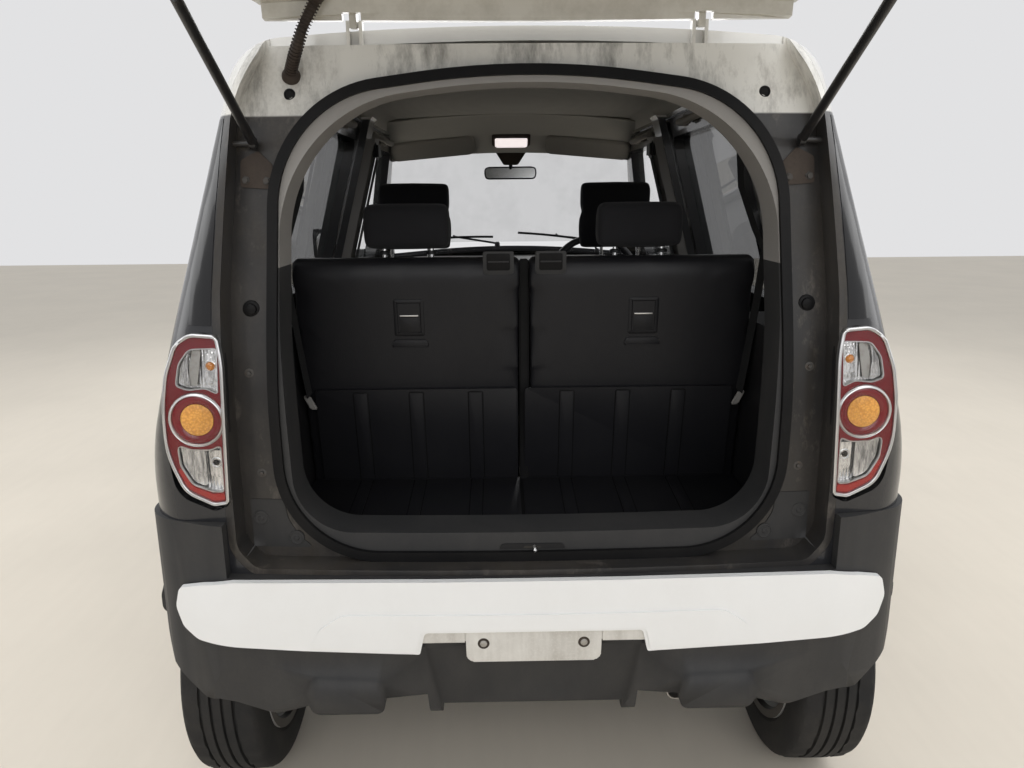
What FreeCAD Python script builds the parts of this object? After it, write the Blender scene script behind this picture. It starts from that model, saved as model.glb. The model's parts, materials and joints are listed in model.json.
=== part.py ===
"""Kei car with an upright cabin, standing on its wheels with the tailgate open.

Millimetres. X points to the car's right, Y forward and Z up. The pieces are drawn
in the car's own stations, with Y = 0 at the rear bumper's face and Z = 0 on the
ground, and are moved at the end so that the origin is the middle of the ground
under the whole car.
"""
import FreeCAD
import Part
import functools
import math
import os

V = FreeCAD.Vector

# Overall sizes and wheels
LENGTH = 3395
FLARE_HALF = 737.5
REAR_AXLE = 440
WHEELBASE = 2425
FRONT_AXLE = REAR_AXLE + WHEELBASE
TRACK_HALF = 645
TYRE_R = 289.5
RIM_R = 192.7
SEAT_GAP = 0.3

# Body shell: half sections, wall and shut gaps
BASE_Z = 235
WAIST_HALF = 702
WAIST_Z = 930
ROOF_Z = 1665
ROOF_EDGE_HALF = 512
ROOF_ARCH_R = 14000
ROOF_CREST_Y = 1500
TAIL_PLAN_R = 6000
CORNER_R = 100
WALL = 50
REAR_WALL = 110
SKIN = 24
ROOF_SPLIT_Z = 1560
SHUT = 5
SCREEN_FOOT = (2640, 1070)
SCREEN_LEAN = 520 / 630
NOSE_WALL = 26

# Tail: gate aperture, gutter and opening, all seen from behind
RECESS = 55
GATE_T = 28
GATE_GAP = 5
PANEL_GAP = 9
ROOF_END_Y = 213
GATE_OPEN = 88
HEADER_HALF = 450
HEADER_Z = 1570
GATE_HINGE_X = 300
HINGE_Y = 205
HINGE_Z = 1603
APERTURE = [(452, 1800, 0), (456, 1560, 60), (508, 1470, 160), (530, 1150, 400),
            (532, 700, 40), (500, 662, 30)]
SEAL_OUTER = [(462, 662, 184), (465, 960, 2500), (449, 1487, 220), (0, 1546, 1500)]
SEAL_WIDTH = 18
OPENING = [(430, 716, 106), (440, 1080, 1500), (432, 1458, 250), (0, 1516, 1400)]
GATE_WINDOW = [(452, 1130, 50), (418, 1478, 90), (0, 1496, 2500)]
TRIM_SPLIT_Z = 1195

# Gas struts of the tailgate
STRUT_X = 478
STRUT_ROOT_Z = 1405
STRUT_GATE_Z = 1050
STRUT_TUBE_R = 8
STRUT_EYE_HALF = 5
STRUT_OVERLAP = 70
STRUT_ROD_R = 4

# Doors and windows, seen from the side as (Y, Z, corner radius)
DOOR_FOOT_Z = 345
DOOR_TOP_Z = 1545
FRONT_DOOR_Y = 2388
PILLAR_Y = 1382
REAR_DOOR_Y = 575
FRONT_DOOR = [(FRONT_DOOR_Y, DOOR_FOOT_Z, 40), (FRONT_DOOR_Y, 1215, 60), (2135, DOOR_TOP_Z, 50),
              (PILLAR_Y + SHUT, DOOR_TOP_Z, 20), (PILLAR_Y + SHUT, DOOR_FOOT_Z, 30)]
REAR_DOOR = [(PILLAR_Y - SHUT, DOOR_FOOT_Z, 30), (PILLAR_Y - SHUT, DOOR_TOP_Z, 20),
             (620, DOOR_TOP_Z, 60), (REAR_DOOR_Y, 1100, 200), (REAR_DOOR_Y, DOOR_FOOT_Z, 30)]
BELT_Z = 1062
WINDOW_TOP_Z = 1490
FRONT_WINDOW = [(2296, BELT_Z, 40), (2296, 1228, 50), (2100, WINDOW_TOP_Z, 50),
                (1452, WINDOW_TOP_Z, 36), (1452, BELT_Z, 36)]
REAR_WINDOW = [(1318, BELT_Z, 36), (1318, WINDOW_TOP_Z, 36), (668, WINDOW_TOP_Z, 60),
               (646, BELT_Z, 40)]
QUARTER_WINDOW = [(516, 1082, 40), (520, 1482, 50), (262, 1468, 70), (226, 1092, 60)]
WINDSCREEN = [(590, 1100, 70), (492, 1556, 90), (0, 1574, 3500)]
GLASS_DEPTH = 16
GLASS_T = 5
DOOR_HINGE_X = 697
DOOR_PIN_R = 1.8
DOOR_PIN_AHEAD = 2.5
LEAF_DEPTH = 60

# Arches and cladding
ARCH_R = 345
FLARE_R = 400
SILL_TOP_Z = 338
FRONT_ARCH_R = 350

# Nose
NOSE_SHOULDER_Z = 1040
NOSE_CENTRE_Z = 1100
NOSE_ARCH_R = 3500
HOOD_REAR_Y = 2703
HOOD_HALF = 612
HOOD_EDGE_Z = 948
LAMP_X = 505
LAMP_Z = 812
LAMP_R = 102
LAMP_PROUD = 9
COWL_DROP = 14
HOOD_HINGE_X = 300
HOOD_HINGE_Y = 2690
HOOD_HINGE_Z = 1052
GRILLE_TOP_Z = 898
GRILLE_FOOT_Z = 716

# Rear bumper: side and plan outlines, garnish and plate seat
BUMPER_SIDE = [(14, 760, 20), (16, 520, 60), (62, 338, 30), (400, 338, 0), (400, 760, 0)]
BUMPER_PLAN = [(708, 500, 0), (708, 84, 90), (560, 24, 200), (0, 12, 8000), (-560, 24, 200),
               (-708, 84, 90), (-708, 500, 0)]
BUMPER_WALL = 30
GARNISH_PROUD = 14
GARNISH = [(600, 650, 16), (636, 618, 14), (603, 558, 40), (498, 516, 200), (212, 497, 8)]
GARNISH_STEP = [(425, 470, 0), (415, 512, 20), (362, 576, 25)]
PLATE_SEAT = [(212, 470, 0), (203, 543, 12)]
PLATE_TAB = [(203, 543, 12), (203, 514, 14), (140, 514, 14), (128, 483, 14)]
CENTRE_PANEL = [(172, 330, 10), (197, 497, 8), (203, 543, 12)]
PLATE_DEPTH = 14
PLATE_HOLE_X = 105
PLATE_HOLE_Z = 511
PLATE_HOLE_R = 3
PAD = [(283, 352, 20), (278, 436, 22), (412, 444, 22), (430, 400, 30), (418, 352, 20)]
FRONT_PLATE_Z = 590

# Front suspension: the steering axis of the right wheel, foot and head (X, Z)
KING_FOOT = (601, 170)
KING_HEAD = (456, 850)
BALL_SEAT_Z = 176
ARM_END_X = 614
SPRING_FOOT_Z = 604

# Cabin
FLOOR_Z = 265
REAR_FLOOR_Z = 480
BOARD_Z = 640
FIREWALL_Y = 2425


def ring(corners, place):
    """Closed wire through corners (u, v, radius), each rounded by its own radius."""
    count = len(corners)
    starts = []
    ends = []
    middles = []
    for i, (u, v, radius) in enumerate(corners):
        before = V(*corners[i - 1][:2], 0)
        here = V(u, v, 0)
        after = V(*corners[(i + 1) % count][:2], 0)
        if radius:
            back = (before - here).normalize()
            ahead = (after - here).normalize()
            half = back.getAngle(ahead) / 2
            reach = radius / math.tan(half)
            starts.append(here + back * reach)
            ends.append(here + ahead * reach)
            inward = (back + ahead).normalize()
            middles.append(here + inward * (radius / math.sin(half) - radius))
        else:
            starts.append(here)
            ends.append(here)
            middles.append(None)
    edges = []
    for i in range(count):
        follow = (i + 1) % count
        if middles[i] is not None:
            points = [place(p.x, p.y) for p in (starts[i], middles[i], ends[i])]
            edges.append(Part.Arc(*points).toShape())
        if (ends[i] - starts[follow]).Length > 1e-6:
            first = place(ends[i].x, ends[i].y)
            second = place(starts[follow].x, starts[follow].y)
            edges.append(Part.LineSegment(first, second).toShape())
    return Part.Wire(edges)


def prism(corners, axis, low, high):
    """Outline drawn across one axis and drawn out along it, from low to high."""
    places = {"X": lambda u, v: V(low, u, v), "Y": lambda u, v: V(u, low, v),
              "Z": lambda u, v: V(u, v, low)}
    lengths = {"X": V(high - low, 0, 0), "Y": V(0, high - low, 0), "Z": V(0, 0, high - low)}
    return Part.Face(ring(corners, places[axis])).extrude(lengths[axis])


def both(half):
    """Half outline, listed from its right side to its middle, with its mirror image."""
    mirror = [(-u, v, r) for u, v, r in reversed(half) if u > 0]
    return half + mirror


def inset(corners, depth):
    """Outline moved inwards by depth, or outwards where depth is negative."""
    count = len(corners)
    area = 0
    for i in range(count):
        area += corners[i - 1][0] * corners[i][1] - corners[i][0] * corners[i - 1][1]
    sense = 1 if area > 0 else -1
    moved = []
    for i, (u, v, radius) in enumerate(corners):
        here = V(u, v, 0)
        first = (here - V(*corners[i - 1][:2], 0)).normalize()
        second = (V(*corners[(i + 1) % count][:2], 0) - here).normalize()
        left = V(-first.y, first.x, 0) * sense
        right = V(-second.y, second.x, 0) * sense
        point = here + (left + right) * (depth / (1 + left.dot(right)))
        convex = (first.x * second.y - first.y * second.x) * sense > 0
        if radius:
            radius = max(radius - depth if convex else radius + depth, 1)
        moved.append((point.x, point.y, radius))
    return moved


def box(x0, x1, y0, y1, z0, z1):
    """Block between two corners."""
    return Part.makeBox(x1 - x0, y1 - y0, z1 - z0, V(x0, y0, z0))


def rod(radius, start, end):
    """Round bar between two points."""
    way = V(*end) - V(*start)
    return Part.makeCylinder(radius, way.Length, V(*start), way)


def turned(outline, axis_y, half_angle):
    """Side outline (Y, Z) swept about a vertical axis, for a bowed end."""
    face = Part.Face(ring(outline, lambda u, v: V(0, u, v)))
    face.rotate(V(0, axis_y, 0), V(0, 0, 1), -half_angle)
    return face.revolve(V(0, axis_y, 0), V(0, 0, 1), 2 * half_angle)


def arched(outline, crest_y, axis_z, half_angle):
    """Cross-section (X, Z) swept about a far axis across the car, for an arched top."""
    face = Part.Face(ring(outline, lambda u, v: V(u, crest_y, v)))
    face.rotate(V(0, crest_y, axis_z), V(1, 0, 0), -half_angle)
    return face.revolve(V(0, crest_y, axis_z), V(1, 0, 0), 2 * half_angle)


def flip(shape):
    """Mirror image on the car's other side."""
    return shape.mirror(V(0, 0, 0), V(1, 0, 0))


def pair(shape):
    """A piece and its mirror image."""
    return Part.makeCompound([shape, flip(shape)])


def solids(shape):
    """Compound of a shape's solids, without slivers."""
    kept = [s for s in shape.Solids if s.Volume > 300]
    return Part.makeCompound(kept)


def fused(*shapes):
    """One shape from touching or crossing shapes."""
    return shapes[0].fuse(list(shapes[1:])).removeSplitter()


CABIN_SECTION = both([(690, 60, 0), (WAIST_HALF, WAIST_Z, 500), (ROOF_EDGE_HALF, 1640, 110),
                      (0, 1676, 5600)])
NOSE_SECTION = both([(690, 60, 0), (WAIST_HALF, WAIST_Z, 500), (690, NOSE_SHOULDER_Z, 70),
                     (0, NOSE_CENTRE_Z, 4500)])
NOSE_PLAN = [(760, 2300, 0), (760, 2750, 0), (716, 2760, 600), (640, LENGTH, 170),
             (-640, LENGTH, 170), (-716, 2760, 600), (-760, 2750, 0), (-760, 2300, 0)]
NOSE_SIDE = [(2300, BASE_Z, 0), (LENGTH - 46, BASE_Z, 40), (LENGTH, 430, 60), (LENGTH - 28, 900, 90),
             (LENGTH - 90, 978, 80), (2900, 1075, 0), (2300, 1150, 0)]


@functools.lru_cache(maxsize=None)
def cabin(depth, rear, rounded=False):
    """Cabin as a solid, its top, sides and screen set in by depth, its tail by rear."""
    foot_y, foot_z = SCREEN_FOOT
    high = 630
    screen = [(-700, 90, 0), (foot_y, 90, 0), (foot_y, foot_z, 0),
              (foot_y - SCREEN_LEAN * high, foot_z + high, 0), (foot_y - SCREEN_LEAN * high, 2000, 0),
              (-700, 2000, 0)]
    tail = [(-700, -100, 0), (26 + rear, -100, 0), (20 + rear, 1000, 1200), (160 + rear, 1700, 0),
            (160 + rear, 2100, 0), (-700, 2100, 0)]
    top = arched(inset(CABIN_SECTION, depth), ROOF_CREST_Y, ROOF_Z - ROOF_ARCH_R, 9)
    shape = top.common(turned(inset(screen, depth), -1400, 40)).cut(turned(tail, TAIL_PLAN_R, 12))
    if rounded:
        edges = []
        for edge in shape.Edges:
            room = edge.BoundBox
            across = room.XLength > 900 and room.ZMax < 1200
            if 0 < room.YMin and room.YMax < 300 and not across:
                edges.append(edge)
        shape = shape.makeFillet(CORNER_R, edges)
    return shape.common(box(-900, 900, -700, 3000, BASE_Z, 2000))


@functools.lru_cache(maxsize=None)
def nose(depth):
    """Nose as a solid, set in by depth."""
    top = arched(inset(NOSE_SECTION, depth), 2450, NOSE_CENTRE_Z - 14 - NOSE_ARCH_R, 20)
    side = inset(NOSE_SIDE, depth)
    if depth:
        side = [(y, z if z > BASE_Z + depth + 1 else BASE_Z - 50, r) for y, z, r in side]
    front = turned(side, 300, 40)
    return top.common(front).common(prism(inset(NOSE_PLAN, depth), "Z", 0, 2000))


OUTER = cabin(0, 0, rounded=True)
INNER = cabin(WALL, REAR_WALL)
LINING = cabin(WALL + SEAT_GAP, REAR_WALL + SEAT_GAP)
NOSE = nose(0)
NOSE_INNER = nose(NOSE_WALL)


def side_prism(outline):
    """Right-hand side outline through the body's wall."""
    return prism(outline, "X", 380, 800)


def deeper(depth):
    """Everything that lies further in than a depth behind the tail's outer surface."""
    return cabin(-5, depth)


def slab(low, high):
    """Layer of the tail between two depths behind its outer surface."""
    outer = OUTER if low == 0 else OUTER.common(deeper(low))
    return outer.cut(deeper(high))


def wheel_bar(axle, radius, low, high):
    """Cylinder about an axle, between two X stations."""
    return Part.makeCylinder(radius, high - low, V(low, axle, TYRE_R), V(1, 0, 0))


FRONT_BITE = wheel_bar(FRONT_AXLE, FRONT_ARCH_R, 380, 800)
REAR_BITE = wheel_bar(REAR_AXLE, ARCH_R, 380, 800)
GATE_HOLE = prism(both(APERTURE), "Y", -200, ROOF_END_Y)
SEAL_INNER = inset(both(SEAL_OUTER), SEAL_WIDTH)


def bumper_space():
    """Room for the rear bumper at the foot of the tail."""
    low = box(-900, 900, -200, 172, 0, 652)
    shoulder = box(548, 900, -200, 172, 600, 752)
    return fused(low, shoulder, flip(shoulder))


def tail_lamp(grow, low, high):
    """Rear lamp outline through the tail's corner, grown for its hole."""
    outline = [(562, 1092, 20), (535, 1082, 12), (537, 784, 14), (564, 772, 20), (632, 800, 50),
               (652, 920, 260), (636, 1060, 60)]
    return prism(inset(outline, -grow), "Y", low, high)


BUMPER_SPACE = bumper_space()


def gate_hinge_bracket():
    """Two ears and a pin that carry one hinge arm of the tailgate."""
    ears = []
    for x in (GATE_HINGE_X - 14, GATE_HINGE_X + 8):
        ears.append(box(x, x + 6, HINGE_Y - 7, ROOF_END_Y - 1, HEADER_Z - 2, HINGE_Z + 6))
    pin = rod(5, (GATE_HINGE_X - 14, HINGE_Y, HINGE_Z), (GATE_HINGE_X + 14, HINGE_Y, HINGE_Z))
    return fused(*ears, pin)


def gate_hinge_arm():
    """Arm of the shut tailgate about its hinge pin."""
    arm = box(GATE_HINGE_X - 6, GATE_HINGE_X + 6, HINGE_Y - 40, HINGE_Y + 7, HINGE_Z - 17, HINGE_Z + 5)
    eye = rod(5.05, (GATE_HINGE_X - 20, HINGE_Y, HINGE_Z), (GATE_HINGE_X + 20, HINGE_Y, HINGE_Z))
    return arm.cut(eye)


def hood_hinge_ears():
    """Two ears and a pin that carry one hinge arm of the hood."""
    ears = []
    for x in (HOOD_HINGE_X - 10, HOOD_HINGE_X + 4):
        ears.append(box(x, x + 6, HOOD_HINGE_Y - 7, HOOD_HINGE_Y + 7, 1005, HOOD_HINGE_Z + 6))
    pin = rod(4, (HOOD_HINGE_X - 10, HOOD_HINGE_Y, HOOD_HINGE_Z), (HOOD_HINGE_X + 10, HOOD_HINGE_Y, HOOD_HINGE_Z))
    return fused(*ears, pin)


def hood_hinge_arm():
    """Arm under the hood's rear edge, about its hinge pin."""
    arm = box(HOOD_HINGE_X - 3.5, HOOD_HINGE_X + 3.5, HOOD_HINGE_Y - 7, HOOD_REAR_Y + 22,
              HOOD_HINGE_Z - 7, HOOD_HINGE_Z + 6)
    eye = rod(4.05, (HOOD_HINGE_X - 20, HOOD_HINGE_Y, HOOD_HINGE_Z),
              (HOOD_HINGE_X + 20, HOOD_HINGE_Y, HOOD_HINGE_Z))
    return arm.cut(eye)


def strut_stud():
    """Stud on the gutter's wall that carries the gas strut's foot."""
    root = strut_ends()[0]
    start = STRUT_X + STRUT_EYE_HALF + SEAT_GAP
    return rod(5, (start, root.y, root.z), (516, root.y, root.z))


def middle_post():
    """Pillar behind the shut gap between the front and rear doors."""
    span = (PILLAR_Y - 50, PILLAR_Y + 50)
    layer = cabin(WALL + 6, REAR_WALL).cut(cabin(WALL + 28, REAR_WALL))
    post = layer.common(box(300, 900, *span, FLOOR_Z + SEAT_GAP, ROOF_SPLIT_Z - SEAT_GAP))
    ends = cabin(WALL - 1, REAR_WALL).cut(cabin(WALL + 28, REAR_WALL))
    foot = ends.common(box(300, 900, *span, FLOOR_Z + SEAT_GAP, DOOR_FOOT_Z - 8))
    head = ends.common(box(300, 900, *span, DOOR_TOP_Z + 6, ROOF_SPLIT_Z - SEAT_GAP))
    return fused(post, foot, head)


def door_hinge_leaves():
    """Fixed leaves and pins of the door hinges, ahead of each right-hand door."""
    leaves = []
    for edge, depth in ((FRONT_DOOR_Y, SHUT + 3), (PILLAR_Y - SHUT, 4.3)):
        pin_y = edge + DOOR_PIN_AHEAD
        for z in (500, 860):
            leaf = box(600, DOOR_HINGE_X, edge + SEAT_GAP, edge + depth, z, z + 50)
            leaf = leaf.common(cabin(8, 0)).cut(cabin(LEAF_DEPTH, REAR_WALL))
            web = box(DOOR_HINGE_X - 20, DOOR_HINGE_X, pin_y - 1, pin_y + 1, z, z + 50)
            pin = rod(DOOR_PIN_R, (DOOR_HINGE_X, pin_y, z - 5), (DOOR_HINGE_X, pin_y, z + 55))
            leaves.append(fused(leaf, web, pin))
    return leaves


def make_body():
    """Side panels, tail frame and roof, cut from one hollow shell."""
    shell = OUTER.cut(INNER)
    roof_room = box(-900, 900, ROOF_END_Y, 3000, ROOF_SPLIT_Z, 2000)
    screen_room = prism(both(WINDSCREEN), "Y", 2000, 2800)
    roof = OUTER.cut(cabin(SKIN, SKIN)).common(roof_room).cut(screen_room)
    frame_line = inset(both(APERTURE), -14)
    frame_room = prism(frame_line, "Y", -200, 240)
    gutter = prism(both(APERTURE), "Y", -200, 245).cut(deeper(RECESS))
    gutter = gutter.fuse(box(-HEADER_HALF, HEADER_HALF, 100, ROOF_END_Y, HEADER_Z, 1800))
    hole = prism(SEAL_INNER, "Y", -200, 400)
    tail = shell.common(frame_room).cut(gutter).cut(hole).cut(BUMPER_SPACE)
    tail = tail.cut(box(-900, 900, ROOF_END_Y - SEAT_GAP, 400, ROOF_SPLIT_Z, 2000))
    lamp_hole = tail_lamp(SEAT_GAP, -100, 175)
    tail = tail.cut(lamp_hole).cut(flip(lamp_hole))
    for piece in (gate_hinge_bracket(), strut_stud()):
        tail = fused(tail, piece, flip(piece))
    frame_gap = prism(inset(frame_line, -SEAT_GAP), "Y", -200, 240)
    half = shell.common(box(0, 900, -200, 3000, 0, 2000)).cut(frame_gap)
    half = half.cut(box(0, 900, ROOF_END_Y - SEAT_GAP, 3000, ROOF_SPLIT_Z - SEAT_GAP, 2000))
    ahead = box(0, 900, FRONT_DOOR_Y + SHUT, 3000, 0, 1045)
    post_room = box(0, 900, FRONT_DOOR_Y, FRONT_DOOR_Y + 52, 0, 1045).common(cabin(NOSE_WALL + 2, 0))
    half = half.cut(ahead.cut(post_room))
    half = half.cut(screen_room)
    half = half.cut(box(-10, 560, 2000, 2800, 0, 1200))
    half = half.cut(BUMPER_SPACE).cut(REAR_BITE)
    for outline in (FRONT_DOOR, REAR_DOOR):
        opening = side_prism(inset(outline, -SHUT)).cut(wheel_bar(REAR_AXLE, FLARE_R + 2, 300, 900))
        half = half.cut(opening)
    half = half.cut(box(380, 900, PILLAR_Y - 20, PILLAR_Y + 20, DOOR_FOOT_Z - SHUT, DOOR_TOP_Z + SHUT))
    half = half.cut(side_prism(QUARTER_WINDOW)).cut(lamp_hole)
    half = fused(half, middle_post(), *door_hinge_leaves())
    return {"body_sides": pair(solids(half)), "tail_frame": solids(tail), "roof_panel": solids(roof)}


def make_lining():
    """Headliner, pillar trim, luggage trim and the light arch round the opening."""
    head = cabin(SKIN + SEAT_GAP, REAR_WALL).cut(cabin(SKIN + 20, REAR_WALL))
    head = head.common(box(-900, 900, 250, 2180, ROOF_SPLIT_Z, 2000))
    wall = box(500, 512, 200.3, 560, REAR_FLOOR_Z + SEAT_GAP, 1032)
    shelf = box(500, 700, 200.3, 560, 1032, 1044)
    cover = wall.fuse(shelf).common(LINING)
    ring_solid = prism(inset(SEAL_INNER, SEAT_GAP), "Y", -100, 240).cut(
        prism(both(OPENING), "Y", -200, 400))
    ring_solid = ring_solid.common(deeper(42)).cut(deeper(REAR_WALL + 14))
    upper = ring_solid.common(box(-900, 900, -100, 400, TRIM_SPLIT_Z, 2000))
    lower = ring_solid.common(box(-900, 900, -100, 400, 0, TRIM_SPLIT_Z - SEAT_GAP))
    seal = prism(both(SEAL_OUTER), "Y", -100, 300).cut(prism(SEAL_INNER, "Y", -200, 400))
    seal = seal.common(deeper(GATE_T + 6)).cut(deeper(RECESS - SEAT_GAP))
    return {"headliner": solids(head), "luggage_trim": pair(cover),
            "opening_trim": solids(upper), "sill_trim": solids(lower), "opening_seal": solids(seal)}


def pane(outline, hole):
    """Sheet of side glass that fills a window."""
    return GLASS_LAYER.common(side_prism(inset(outline, hole)))


GLASS_LAYER = cabin(GLASS_DEPTH, REAR_WALL).cut(cabin(GLASS_DEPTH + GLASS_T, REAR_WALL))


def make_glass():
    """Fixed glass: the windscreen and the rear quarter panes."""
    screen = GLASS_LAYER.common(prism(inset(both(WINDSCREEN), SEAT_GAP), "Y", 2000, 2800))
    quarter = pane(QUARTER_WINDOW, SEAT_GAP)
    return {"windscreen": solids(screen), "quarter_glass": pair(solids(quarter))}


def mirror_housing():
    """Door mirror on its foot, on the right front door."""
    shell = prism([(2222, 1052, 30), (2222, 1186, 36), (2300, 1180, 30), (2304, 1056, 30)], "X", 716, 866)
    foot = box(650, 724, 2240, 2290, 1064, 1092)
    return fused(shell, foot)


def make_doors():
    """Right-hand doors, hollow of their windows, with handles and the door mirror."""
    shell = OUTER.cut(cabin(WALL, WALL))
    table = [("front", FRONT_DOOR, FRONT_WINDOW, 1470), ("rear", REAR_DOOR, REAR_WINDOW, 700)]
    pieces = {}
    for name, outline, window, handle_y in table:
        door = shell.common(side_prism(outline)).cut(side_prism(window))
        door = door.cut(wheel_bar(REAR_AXLE, FLARE_R + 8, 300, 900))
        grip = box(680, 716, handle_y, handle_y + 150, 958, 982)
        grip = grip.cut(box(670, 706, handle_y + 25, handle_y + 125, 950, 990))
        door = door.fuse(grip)
        if name == "front":
            door = door.fuse(mirror_housing())
        glass = pane(window, SEAT_GAP)
        for side, change in (("right", lambda s: s), ("left", flip)):
            pieces["door_%s_%s" % (name, side)] = change(solids(door))
            pieces["glass_%s_%s" % (name, side)] = change(solids(glass))
    return pieces


def open_gate(shape):
    """Turn a piece of the shut tailgate to the open tailgate's place."""
    moved = shape.copy()
    moved.rotate(V(0, HINGE_Y, HINGE_Z), V(1, 0, 0), -GATE_OPEN)
    return moved


def tail_y(x, z, depth):
    """Y station of the tail's surface at a point seen from behind, at a depth."""
    lean = 0.2 * max(z - 1000, 0)
    return 20 + lean + x * x / (2 * TAIL_PLAN_R) + depth


def make_gate():
    """Tailgate, drawn shut and turned open about its hinge."""
    outline = inset(both(APERTURE), GATE_GAP)
    room = prism(outline, "Y", -200, HINGE_Y - 3)
    window = prism(both(GATE_WINDOW), "Y", -200, 400)
    skin = slab(0, GATE_T).common(room).cut(window)
    panel = prism(inset(both(OPENING), PANEL_GAP), "Y", -200, 400).cut(window)
    panel = panel.common(deeper(GATE_T - 1)).cut(deeper(GATE_T + 30))
    lip = OUTER.cut(cabin(20, -100)).common(room).common(box(-HEADER_HALF + 3, HEADER_HALF - 3, 100, 300, 1540, 1800))
    lip = lip.cut(deeper(RECESS - GATE_GAP).common(box(-900, 900, 0, 400, 1500, HEADER_Z + GATE_GAP)))
    shell = fused(skin, panel.common(box(-900, 900, -100, 300, 600, 1480)), lip)
    for side in (1, -1):
        x = side * GATE_HINGE_X
        shell = shell.cut(box(x - 16, x + 16, HINGE_Y - 15, HINGE_Y, HEADER_Z, 1700))
    lug = strut_lug()
    shell = fused(shell, gate_hinge_arm(), flip(gate_hinge_arm()), lug, flip(lug))
    glass = slab(4, 4 + GLASS_T).common(prism(inset(both(GATE_WINDOW), SEAT_GAP), "Y", -200, 400))
    return {"tailgate": open_gate(solids(shell)), "tailgate_glass": open_gate(solids(glass))}


def strut_ends():
    """Pins of a gas strut: on the body, and on the open tailgate."""
    depth = (GATE_T + RECESS) / 2
    root = V(STRUT_X, tail_y(STRUT_X, STRUT_ROOT_Z, depth), STRUT_ROOT_Z)
    shut = V(STRUT_X, tail_y(STRUT_X, STRUT_GATE_Z, depth), STRUT_GATE_Z)
    angle = math.radians(-GATE_OPEN)
    dy = shut.y - HINGE_Y
    dz = shut.z - HINGE_Z
    opened = V(STRUT_X, HINGE_Y + dy * math.cos(angle) - dz * math.sin(angle),
               HINGE_Z + dy * math.sin(angle) + dz * math.cos(angle))
    return root, shut, opened


def strut_lug():
    """Lug inside the shut tailgate that carries the strut's rod end."""
    shut = strut_ends()[1]
    start = STRUT_X + STRUT_EYE_HALF + SEAT_GAP
    stud = rod(5, (start, shut.y, shut.z), (start + 8, shut.y, shut.z))
    leg = box(start + 7, start + 15, shut.y - 18, shut.y + 6, shut.z - 8, shut.z + 8)
    return fused(stud, leg)


def make_struts():
    """Gas struts that hold the tailgate up: tubes on the body, rods in the tubes."""
    root, shut, opened = strut_ends()
    way = (opened - root).normalize()
    across = V(STRUT_EYE_HALF, 0, 0)
    tube_length = (shut - root).Length - 25
    tube = rod(STRUT_TUBE_R, root + way * (STRUT_TUBE_R - 1), root + way * tube_length)
    tube = tube.cut(rod(STRUT_ROD_R + 0.05, root + way * 20, root + way * (tube_length + 1)))
    tube = fused(tube, rod(STRUT_TUBE_R + 2, root - across, root + across))
    stem = rod(STRUT_ROD_R, root + way * (tube_length - STRUT_OVERLAP), opened)
    stem = fused(stem, rod(7, opened - across, opened + across))
    return {"strut_tubes": pair(tube), "strut_rods": pair(stem)}


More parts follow.
